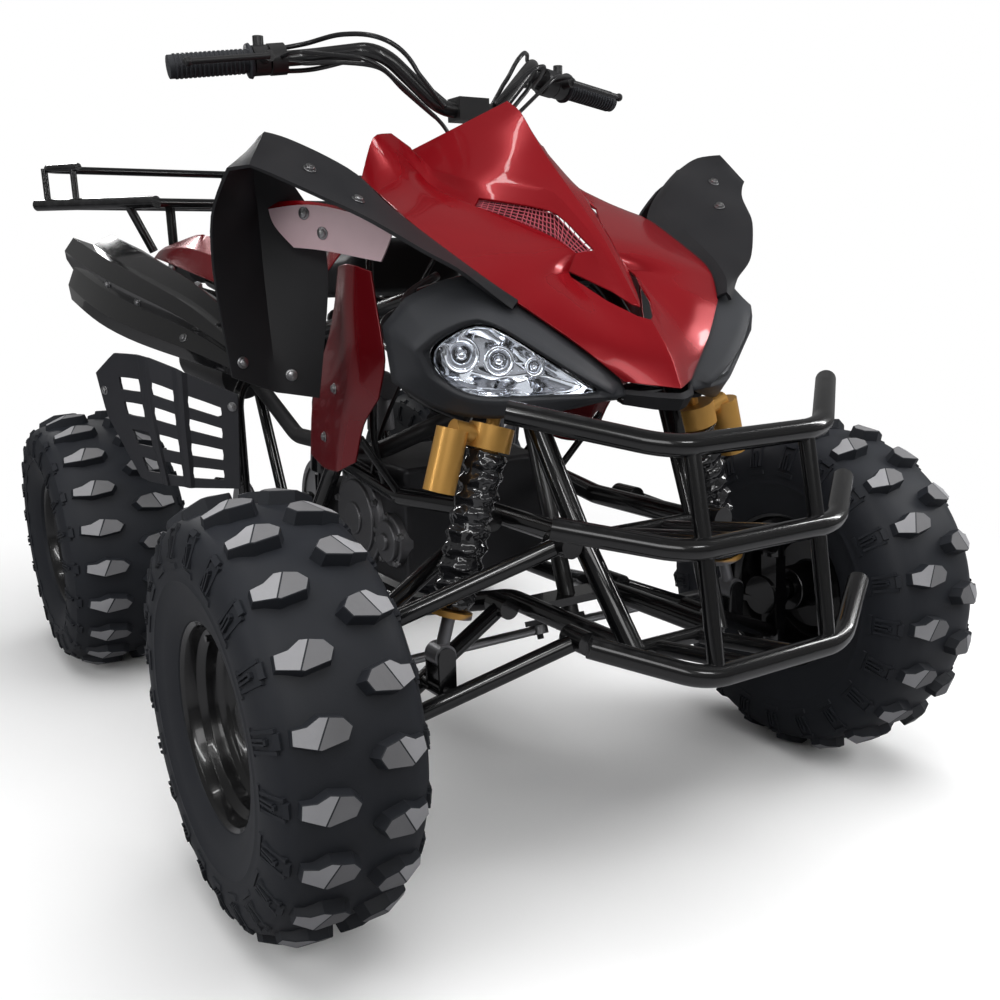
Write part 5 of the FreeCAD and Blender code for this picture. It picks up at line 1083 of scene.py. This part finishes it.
HOUSING_LOOP = [
    (292, 34, 742), (276, 0, 776), (238, -18, 796), (206, -24, 800), (186, -34, 797),
    (172, -52, 785), (144, -84, 758), (102, -118, 720), (56, -146, 672), (52, -158, 652),
    (132, -108, 630), (190, -66, 624), (242, -22, 630), (286, 26, 672),
]
LENS_LOOP = [
    (275, -37, 712), (258, -54, 730), (236, -73, 744), (222, -86, 746), (210, -98, 742),
    (197, -110, 733), (167, -133, 708), (126, -150, 680), (90, -155, 660), (94, -150, 656),
    (140, -118, 655), (186, -85, 653), (224, -52, 654), (258, -36, 682),
]
HOUSING_CREASES = (0, 1, 3, 8, 9, 13)
WELL_DEPTH = 24
# Place of each reflector well along the lens, and its radius
LAMP_WELLS = ((-0.055, 0.020), (-0.008, 0.017), (0.036, 0.011))


class QUAD_OT_lamps(bpy.types.Operator):
    """Adds the headlights' housings, clear lenses and reflectors"""
    bl_idname = "quad.lamps"
    bl_label = "Headlights"

    def execute(self, context):
        housings, lenses, bowls = bmesh.new(), bmesh.new(), bmesh.new()
        for side in SIGNS:
            self.add_lamp(housings, lenses, bowls, side)
        for name, bm, kind, slot, node, wall in (
                ("lamp_housings", housings, "housing_grey", "body_black", "headlight_housings",
                 0.003),
                ("lamp_reflectors", bowls, "lamp_bright", "lamp_bright", "headlight_reflectors",
                 0.003),
                ("lamp_lenses", lenses, "lamp_clear", "lamp_clear", "headlight_lenses", 0.0025)):
            bmesh.ops.remove_doubles(bm, verts=bm.verts, dist=0.00001)
            piece = finish_mesh(name, bm, kind)
            subdivide(piece, 2)
            modifier(piece, "SOLIDIFY", thickness=wall, offset=-1.0)
            set_piece(piece, "chassis", slot, node)
        return {"FINISHED"}

    def add_lamp(self, housings, lenses, bowls, side):
        """Housing, lens and reflector of one side, as the lens's loop scaled and set back."""
        back = Vector((-0.5 * side, 0.85, 0)) * MM
        outer = [place(side * x, y, z) for x, y, z in HOUSING_LOOP]
        lens = [place(side * x, y, z) for x, y, z in LENS_LOOP]
        middle = sum(lens, Vector()) / len(lens)

        def loop(share, depth):
            return [middle + (spot - middle) * share + back * depth for spot in lens]

        self.ring(housings, [outer, loop(1.10, -4), loop(1.03, -1.5), lens, loop(0.93, 11)],
                  HOUSING_CREASES)
        self.cap(lenses, loop(0.97, 2), middle - back * 7)
        self.ring(bowls, [loop(0.965, 7), loop(0.86, 22), loop(0.5, 40)])
        self.cap(bowls, loop(0.5, 40), middle + back * 36)
        self.add_wells(bowls, middle, (lens[7] - lens[0]).normalized(), back)

    def ring(self, bm, loops, corners=()):
        """Joins loops of places with faces that look ahead, folded at the loops and corners."""
        crease = crease_layer(bm)
        rings = [closed_loop(bm, loop) for loop in loops]
        faces = []
        for (_, first), (_, second) in zip(rings, rings[1:]):
            faces += bmesh.ops.bridge_loops(bm, edges=first + second)["faces"]
        spokes = {verts[corner] for verts, _ in rings for corner in corners}
        for edge in {edge for face in faces for edge in face.edges}:
            if all(vert in spokes for vert in edge.verts):
                edge[crease] = 1.0
        for _, edges in rings:
            for edge in edges:
                edge[crease] = 0.9 if corners else 0.75
        face_towards(bm, faces, AHEAD)

    def cap(self, bm, loop, hub):
        """Closes a loop of places with a fan round a hub."""
        face = bm.faces.new([bm.verts.new(spot) for spot in loop])
        made = bmesh.ops.poke(bm, faces=[face])
        made["verts"][0].co = hub
        face_towards(bm, made["faces"], AHEAD)

    def add_wells(self, bm, middle, along, back):
        """Three reflector wells side by side, with a bulb in each."""
        for offset, radius in LAMP_WELLS:
            spot = middle + along * offset + back * WELL_DEPTH
            bmesh.ops.create_cone(
                bm, cap_ends=False, segments=24, radius1=radius * 0.5, radius2=radius * 1.15,
                depth=0.016, matrix=frame_matrix(spot, -back.normalized()))
            bmesh.ops.create_uvsphere(
                bm, u_segments=16, v_segments=8, radius=radius * 0.33,
                matrix=frame_matrix(spot + back * 2, -back.normalized()))


# Foot guards

GUARD_ROWS = [
    [(462, 868, 642), (436, 808, 684), (400, 735, 672), (352, 690, 646), (278, 636, 606)],
    [(452, 862, 566), (428, 800, 574), (396, 742, 566), (352, 700, 548), (278, 648, 522)],
    [(418, 800, 452), (404, 775, 444), (380, 748, 440), (348, 716, 436), (278, 664, 434)],
]
# Lines of the grid by shares of the guard, lines that stand up as ribs, and open cells
GUARD_ACROSS = (0.0, 0.10, 0.22, 0.40, 0.43, 0.47, 0.50, 0.66, 0.69, 0.73, 0.76, 0.92, 1.0)
GUARD_DOWN = (0.0, 0.08, 0.20, 0.31, 0.41, 0.52, 0.62, 0.73, 0.82, 0.92, 1.0)
GUARD_RIBS = (4, 5, 8, 9)
GUARD_RIB_RISE = Vector((1.5, -6, 0))
GUARD_SLOTS = {(row, column) for row in (2, 4, 6, 8) for column in (2, 6, 10)}


class QUAD_OT_guards(bpy.types.Operator):
    """Adds the slotted foot guards with their ribs"""
    bl_idname = "quad.guards"
    bl_label = "Foot Guards"

    def execute(self, context):
        rows = []
        for down in GUARD_DOWN:
            row = [between(GUARD_ROWS, down, across) for across in GUARD_ACROSS]
            for rib in GUARD_RIBS:
                row[rib] += GUARD_RIB_RISE
            rows.append(row)
        for label, side in SIDES:
            bm = bmesh.new()
            side_patch(bm, rows, side, (0.4, -1, 0), open_cells=GUARD_SLOTS, soft=0.55)
            piece = finish_mesh("guard_skin_" + label, bm, "guard_grey")
            dress_panel(piece, 0.005, levels=1, edge=0.001)
            node = "foot_guard_" + label
            set_piece(piece, "chassis", SLOTS[node], node)
        return {"FINISHED"}


# Grille meshes

WINDOW_ROWS = (2, 3, 4, 5)
WINDOW_COLUMNS = (2, 3)
WINDOW_OVERLAP = (-0.25, 1.3)
# Depth below the nose in millimetres, and cells across and down
WIRE_GRID = (6.5, 8, 24)
# The dark sheet under each mesh paints the shade inside the nose
SHADE_SHEET_GRID = (11.0, 6, 12)


class QUAD_OT_grilles(bpy.types.Operator):
    """Adds the meshes in the nose's two windows, with a dark sheet under them as painted shade"""
    bl_idname = "quad.grilles"
    bl_label = "Grilles"

    def execute(self, context):
        wires, shade_sheet = bmesh.new(), bmesh.new()
        for side in SIGNS:
            self.lay_sheet(wires, side, *WIRE_GRID)
            self.lay_sheet(shade_sheet, side, *SHADE_SHEET_GRID)
        piece = finish_mesh("grille_wires", wires, "grille_mesh")
        modifier(piece, "WIREFRAME", thickness=0.0026, use_even_offset=False, use_replace=True)
        set_piece(piece, "chassis", "grille_mesh", "nose_grille")
        # Dark sheet under the meshes, painted shade inside the nose
        piece = finish_mesh("grille_backing", shade_sheet, "grille_back")
        subdivide(piece, 1)
        modifier(piece, "SOLIDIFY", thickness=0.002, offset=-1.0)
        set_piece(piece, "chassis", "body_red")
        return {"FINISHED"}

    def lay_sheet(self, bm, side, depth, across, down):
        """Sheet below a window of the nose, wider than the window."""
        sheet = []
        for row in WINDOW_ROWS:
            low, high = (Vector(NOSE_ROWS[row][column]) for column in WINDOW_COLUMNS)
            sheet.append([low.lerp(high, share) for share in WINDOW_OVERLAP])
        rows = []
        for i in range(down + 1):
            spots = [between(sheet, i / down, j / across) for j in range(across + 1)]
            rows.append([(spot.x, spot.y + depth * 0.7, spot.z - depth) for spot in spots])
        side_patch(bm, rows, side, (1, -1, 1))


# Springs in their wrinkled film

DAMPER_FOOT, DAMPER_HEAD = (262, -32, 318), (165, -32, 640)
FILM_ENDS = (0.192, 0.812)
FILM_RINGS, FILM_AROUND = 110, 64
FILM_RADIUS, FILM_WAVE, FILM_CREASE, FILM_WRINKLE = 0.0268, 0.0022, 0.0032, 0.0012


class QUAD_OT_springs(bpy.types.Operator):
    """Adds the shiny wrinkled film round the front coil springs, with the coils' waves in it, in
    place of the springs' solid
    """
    bl_idname = "quad.springs"
    bl_label = "Springs"

    def execute(self, context):
        turns = context.scene.quad_sizes.spring_turns
        bm = bmesh.new()
        for side in SIGNS:
            foot, head = (place(side * x, y, z) for x, y, z in (DAMPER_FOOT, DAMPER_HEAD))
            low, high = (foot + (head - foot) * share for share in FILM_ENDS)
            self.wrap_film(bm, low, high, side, turns)
        piece = finish_mesh("spring_sleeves", bm, "spring_black")
        modifier(piece, "SOLIDIFY", thickness=0.0012, offset=-1.0)
        set_piece(piece, "chassis", "spring_black", "front_springs")
        return {"FINISHED"}

    def wrap_film(self, bm, low, high, side, turns):
        """Film that follows the coils and creases between them."""
        verts = bmesh.ops.create_grid(bm, x_segments=FILM_AROUND, y_segments=FILM_RINGS,
                                      size=0.5)["verts"]
        stand = frame_matrix(low, high - low)
        for vert in verts:
            along, angle = vert.co.y + 0.5, vert.co.x * FULL_TURN
            out, aside = math.cos(angle), math.sin(angle)
            coil = math.cos(turns * FULL_TURN * along - angle)
            crease = noise.noise(Vector((along * 26, out * 2.2, aside * 2.2 + side * 7)))
            wrinkle = noise.noise(Vector((along * 60, out * 6, aside * 6)))
            radius = (FILM_RADIUS + FILM_WAVE * coil + FILM_CREASE * crease
                      + FILM_WRINKLE * wrinkle)
            vert.co = stand @ Vector((out * radius, aside * radius, along * (high - low).length))
        bmesh.ops.remove_doubles(bm, verts=verts, dist=0.00002)
        bmesh.ops.recalc_face_normals(bm, faces=bm.faces)


# Seat

class QUAD_OT_seat(bpy.types.Operator):
    """Adds the padded seat"""
    bl_idname = "quad.seat"
    bl_label = "Seat"

    def execute(self, context):
        bm = bmesh.new()
        bm.from_mesh(frame["nodes"]["seat"].data)
        bmesh.ops.remove_doubles(bm, verts=bm.verts, dist=0.00001)
        piece = finish_mesh("seat_cushion", bm, "seat_cover")
        modifier(piece, "REMESH", mode="VOXEL", voxel_size=0.007, use_smooth_shade=True)
        modifier(piece, "SMOOTH", factor=0.5, iterations=14)
        subdivide(piece, 1)
        set_piece(piece, "chassis", "seat_cover", "seat")
        return {"FINISHED"}


# Cables and grips of the handlebar

BAR_POINTS = [
    (46, 289, 1040), (90, 300, 1080), (128, 312, 1114), (165, 364, 1124), (202, 424, 1122),
    (252, 432, 1116),
]
GRIP_ENDS = ((284, 436, 1112), (401, 452, 1098))
GRIP_RIBS = 16
# Share of the grip's length before its ribs, and the share that they cover
GRIP_RIB_SPAN = (0.12, 0.82)
# Angle at which each cable starts, and how far it winds
CABLE_TURNS = ((0.0, 2.2), (2.1, 2.6), (4.2, 1.8))
CABLE_RADIUS = 0.0034
CABLE_DISTANCE, CABLE_SAG = 0.0155, 0.006


class QUAD_OT_controls(bpy.types.Operator):
    """Adds the cables round the handlebar and the ribs of the grips"""
    bl_idname = "quad.controls"
    bl_label = "Controls"

    def execute(self, context):
        cables, ribs = bmesh.new(), bmesh.new()
        for side in SIGNS:
            centre = smooth_path([place(side * x, y, z) for x, y, z in BAR_POINTS], 12)
            for start, turn in CABLE_TURNS:
                self.wind_cable(cables, centre, start, turn)
            self.rib_grip(ribs, side)
        for name, bm, kind in (("bar_cables", cables, "cable_black"),
                               ("grip_ribs", ribs, "grip_rubber")):
            bmesh.ops.recalc_face_normals(bm, faces=bm.faces)
            set_piece(finish_mesh(name, bm, kind), "steering", kind)
        return {"FINISHED"}

    def wind_cable(self, bm, centre, start, turn):
        """Cable that winds along the handlebar and stands off it in the middle."""
        spots = []
        for index, spot in enumerate(centre):
            share = index / (len(centre) - 1)
            angle = start + turn * share
            away = CABLE_DISTANCE + CABLE_SAG * math.sin(share * math.pi)
            aside = Vector((math.cos(angle) * away, math.sin(angle) * away, 0))
            spots.append(frame_matrix(spot, way_at(centre, index)) @ aside)
        tube(bm, spots, CABLE_RADIUS)

    def rib_grip(self, bm, side):
        """Raised rings round one grip, with its flange."""
        inner, outer = (place(side * x, y, z) for x, y, z in GRIP_ENDS)
        line, length = (outer - inner).normalized(), (outer - inner).length
        first, span = GRIP_RIB_SPAN
        for k in range(GRIP_RIBS):
            spot = inner + line * length * (first + span * k / (GRIP_RIBS - 1))
            peg(bm, 28, 0.0172, 0.0030, frame_matrix(spot, line))
        peg(bm, 32, 0.0245, 0.004, frame_matrix(inner + line * 0.004, line), 0.0235)


# Engine fittings

ENGINE_SIDE = 135
# Place on the engine's side, radius, depth and number of screws
ENGINE_COVERS = ((455, 400, 0.088, 0.020, 8), (335, 382, 0.046, 0.026, 5))
# Shares of a cover's radius and of its depth
COVER_STEPS = ((1.0, 0.45), (0.80, 0.75), (0.34, 1.0))
# Radius, height and sides of a screw's washer and of its head
COVER_SCREW = ((0.0065, 0.004, 20), (0.0050, 0.012, 6))
# Place, radius and length of the carburettor's body and of its flange
INTAKE_PARTS = ((585, 610, 0.024, 0.060), (600, 605, 0.032, 0.026))
INTAKE_WAY = Vector((0, 1, 0.15))
FLOAT_BOWL = (-20, 598, 560)
# Places and radius of each hose in millimetres
HOSE_RUNS = (
    (((-20, 620, 612), (-30, 660, 640), (-34, 700, 690), (-30, 740, 730)), 22),
    (((-62, 395, 640), (-92, 380, 690), (-84, 340, 760), (-60, 300, 830)), 3.6),
    (((-100, 430, 420), (-150, 380, 470), (-160, 320, 560), (-130, 280, 660), (-80, 270, 760)),
     3.4),
    (((100, 430, 420), (150, 390, 480), (158, 330, 560), (130, 290, 680), (80, 270, 780)), 3.4),
    (((-138, 500, 470), (-168, 520, 520), (-166, 560, 590), (-120, 600, 640)), 5.0),
    (((60, 395, 640), (96, 400, 700), (104, 440, 740), (70, 500, 752)), 4.2),
    (((-40, 250, 700), (-120, 240, 690), (-188, 190, 668), (-196, 120, 640), (-150, 60, 610)), 9.0),
    (((40, 250, 700), (120, 240, 690), (188, 190, 668), (196, 120, 640), (150, 60, 610)), 9.0),
    (((-60, 300, 800), (-140, 250, 770), (-196, 150, 730), (-214, 60, 716)), 7.0),
    (((60, 300, 800), (140, 250, 770), (196, 150, 730), (214, 60, 716)), 7.0),
    (((-70, 290, 780), (-170, 270, 720), (-206, 240, 640), (-200, 260, 560), (-150, 330, 470)),
     5.5),
    (((-50, 320, 770), (-150, 300, 740), (-190, 220, 700), (-206, 90, 690)), 5.0),
)


class QUAD_OT_engine(bpy.types.Operator):
    """Adds the covers, the carburettor and the hoses of the engine"""
    bl_idname = "quad.engine"
    bl_label = "Engine"

    def execute(self, context):
        covers, hoses, bolts = bmesh.new(), bmesh.new(), bmesh.new()
        for side in SIGNS:
            for y, z, radius, depth, screws in ENGINE_COVERS:
                spot = place(side * ENGINE_SIDE, y, z)
                self.cover(covers, bolts, spot, Vector((side, 0, 0)), radius, depth, screws)
        for y, z, radius, length in INTAKE_PARTS:
            peg(covers, 32, radius, length, frame_matrix(place(-20, y, z), INTAKE_WAY),
                radius * 0.92)
        peg(covers, 24, 0.026, 0.07, frame_matrix(place(*FLOAT_BOWL), Vector((0, 0, 1))), 0.022)
        for run, radius in HOSE_RUNS:
            tube(hoses, smooth_path([place(*spot) for spot in run]), radius * MM)
        for name, bm, kind, slot, edge in (
                ("engine_covers", covers, "cast_alloy", "engine_metal", 0.003),
                ("engine_hoses", hoses, "cable_black", "cable_black", 0.0),
                ("engine_bolts", bolts, "plain_steel", "plain_steel", 0.0005)):
            bmesh.ops.recalc_face_normals(bm, faces=bm.faces)
            piece = finish_mesh(name, bm, kind)
            if edge:
                round_edges(piece, edge, 3, 35)
                even_normals(piece)
            set_piece(piece, "chassis", slot)
        return {"FINISHED"}

    def cover(self, covers, bolts, spot, out, radius, depth, screws):
        """Round cover in three steps, with screws round its edge."""
        for share, rise in COVER_STEPS:
            peg(covers, 56, radius * share, depth * rise * 2, frame_matrix(spot, out),
                radius * share * 0.94)
        for k in range(screws):
            turn = k * FULL_TURN / screws + 0.3
            around = Vector((0, math.cos(turn), math.sin(turn)))
            rim = spot + around * radius * 0.90 + out * depth * 0.45
            for size, height, sides in COVER_SCREW:
                peg(bolts, sides, size, height, frame_matrix(rim, out))


# Bolts on the panels

# Place beside a panel, and the way from the panel to it
BOLT_SPOTS = [
    ((392, 158, 893), (1, -0.6, 0.1)), ((330, 262, 668), (0, -1, 0.1)),
    ((400, 258, 690), (0, -1, 0.1)), ((262, 720, 740), (0.2, -0.4, 1)),
    ((262, 850, 800), (0.2, -0.3, 1)), ((272, 980, 830), (0.2, -0.2, 1)),
    ((300, 180, 858), (0.2, -1, -0.3)), ((240, 300, 640), (1, -0.5, 0)),
    ((236, 360, 560), (1, -0.5, 0)), ((452, 855, 610), (0.6, -1, 0.2)),
    ((286, 645, 585), (0.3, -1, 0.2)), ((300, 72, 858), (0.1, -0.3, 1)),
    ((340, 120, 918), (0.1, -0.3, 1)), ((386, 900, 770), (1, 0, 0.3)),
    ((400, 1000, 800), (1, 0, 0.3)), ((318, 760, 700), (1, -0.3, 0.2)),
]
BOLT_REACH = 0.08
# Washer and head: share of the radius, depth and distance from the panel
BOLT_HEAD = ((1.35, 0.0012, 0.0), (1.0, 0.0035, 0.0022))


class QUAD_OT_bolts(bpy.types.Operator):
    """Adds the bolt heads and washers on the panels"""
    bl_idname = "quad.bolts"
    bl_label = "Bolts"

    def execute(self, context):
        radius = context.scene.quad_sizes.bolt_radius
        depsgraph = context.evaluated_depsgraph_get()
        bm = bmesh.new()
        for (x, y, z), (dx, dy, dz) in BOLT_SPOTS:
            for side in SIGNS:
                way = Vector((side * dx, dy, dz)).normalized()
                start = place(side * x, y, z) + way * BOLT_REACH
                hit, spot, normal, *_ = context.scene.ray_cast(depsgraph, start, -way, distance=0.2)
                if hit:
                    self.add_bolt(bm, frame_matrix(spot + normal * 0.001, normal), radius)
        piece = finish_mesh("panel_bolts", bm, "plain_steel")
        round_edges(piece, 0.0004, 1, 30)
        set_piece(piece, "chassis", "plain_steel")
        return {"FINISHED"}

    def add_bolt(self, bm, stand, radius):
        """Washer, head and the raised middle of its drive."""
        for size, depth, out in BOLT_HEAD:
            peg(bm, 20, radius * size, depth, stand @ moved(0, 0, out), radius * size * 0.86)
        peg(bm, 6, radius * 0.42, 0.0012, stand @ moved(0, 0, 0.0042))


# Solids that stay in view

class QUAD_OT_cad_finishes(bpy.types.Operator):
    """Gives the solids that stay in view their finishes"""
    bl_idname = "quad.cad_finishes"
    bl_label = "Finishes"

    def execute(self, context):
        for name, node in frame["nodes"].items():
            if node.hide_render:
                continue
            node.data.materials.clear()
            node.data.materials.append(paint(SLOTS[name]))
            node.data.polygons.foreach_set("use_smooth", [True] * len(node.data.polygons))
            modifier(node, "WELD", merge_threshold=0.00001)
            modifier(node, "DECIMATE", decimate_type="DISSOLVE", angle_limit=math.radians(1.0))
            round_edges(node, 0.0008, 2, 35)
            even_normals(node)
        return {"FINISHED"}


# Panel and registration

OPERATORS = (
    QUAD_OT_stage,
    QUAD_OT_tyres,
    QUAD_OT_panels,
    QUAD_OT_lamps,
    QUAD_OT_guards,
    QUAD_OT_grilles,
    QUAD_OT_rims,
    QUAD_OT_springs,
    QUAD_OT_seat,
    QUAD_OT_controls,
    QUAD_OT_engine,
    QUAD_OT_bolts,
    QUAD_OT_cad_finishes,
)


class QUAD_PT_pieces(bpy.types.Panel):
    """Lists the steps that dress the quad bike"""
    bl_idname = "QUAD_PT_pieces"
    bl_label = "Quad Bike"
    bl_space_type = "VIEW_3D"
    bl_region_type = "UI"
    bl_category = "Quad Bike"

    def draw(self, context):
        for operator in OPERATORS:
            self.layout.operator(operator.bl_idname)


CLASSES = (QuadSizes, QuadColours, QuadStage, *OPERATORS, QUAD_PT_pieces)


def register():
    """Registers the classes and their settings."""
    for entry in CLASSES:
        bpy.utils.register_class(entry)
    bpy.types.Scene.quad_sizes = bpy.props.PointerProperty(type=QuadSizes)
    bpy.types.Scene.quad_colours = bpy.props.PointerProperty(type=QuadColours)
    bpy.types.Scene.quad_stage = bpy.props.PointerProperty(type=QuadStage)


def unregister():
    """Removes the settings and the classes."""
    del bpy.types.Scene.quad_sizes, bpy.types.Scene.quad_colours, bpy.types.Scene.quad_stage
    for entry in reversed(CLASSES):
        bpy.utils.unregister_class(entry)


def main():
    """Dresses the quad bike."""
    register()
    for operator in OPERATORS:
        group, step = operator.bl_idname.split(".")
        getattr(getattr(bpy.ops, group), step)()


if __name__ == "__main__":
    main()
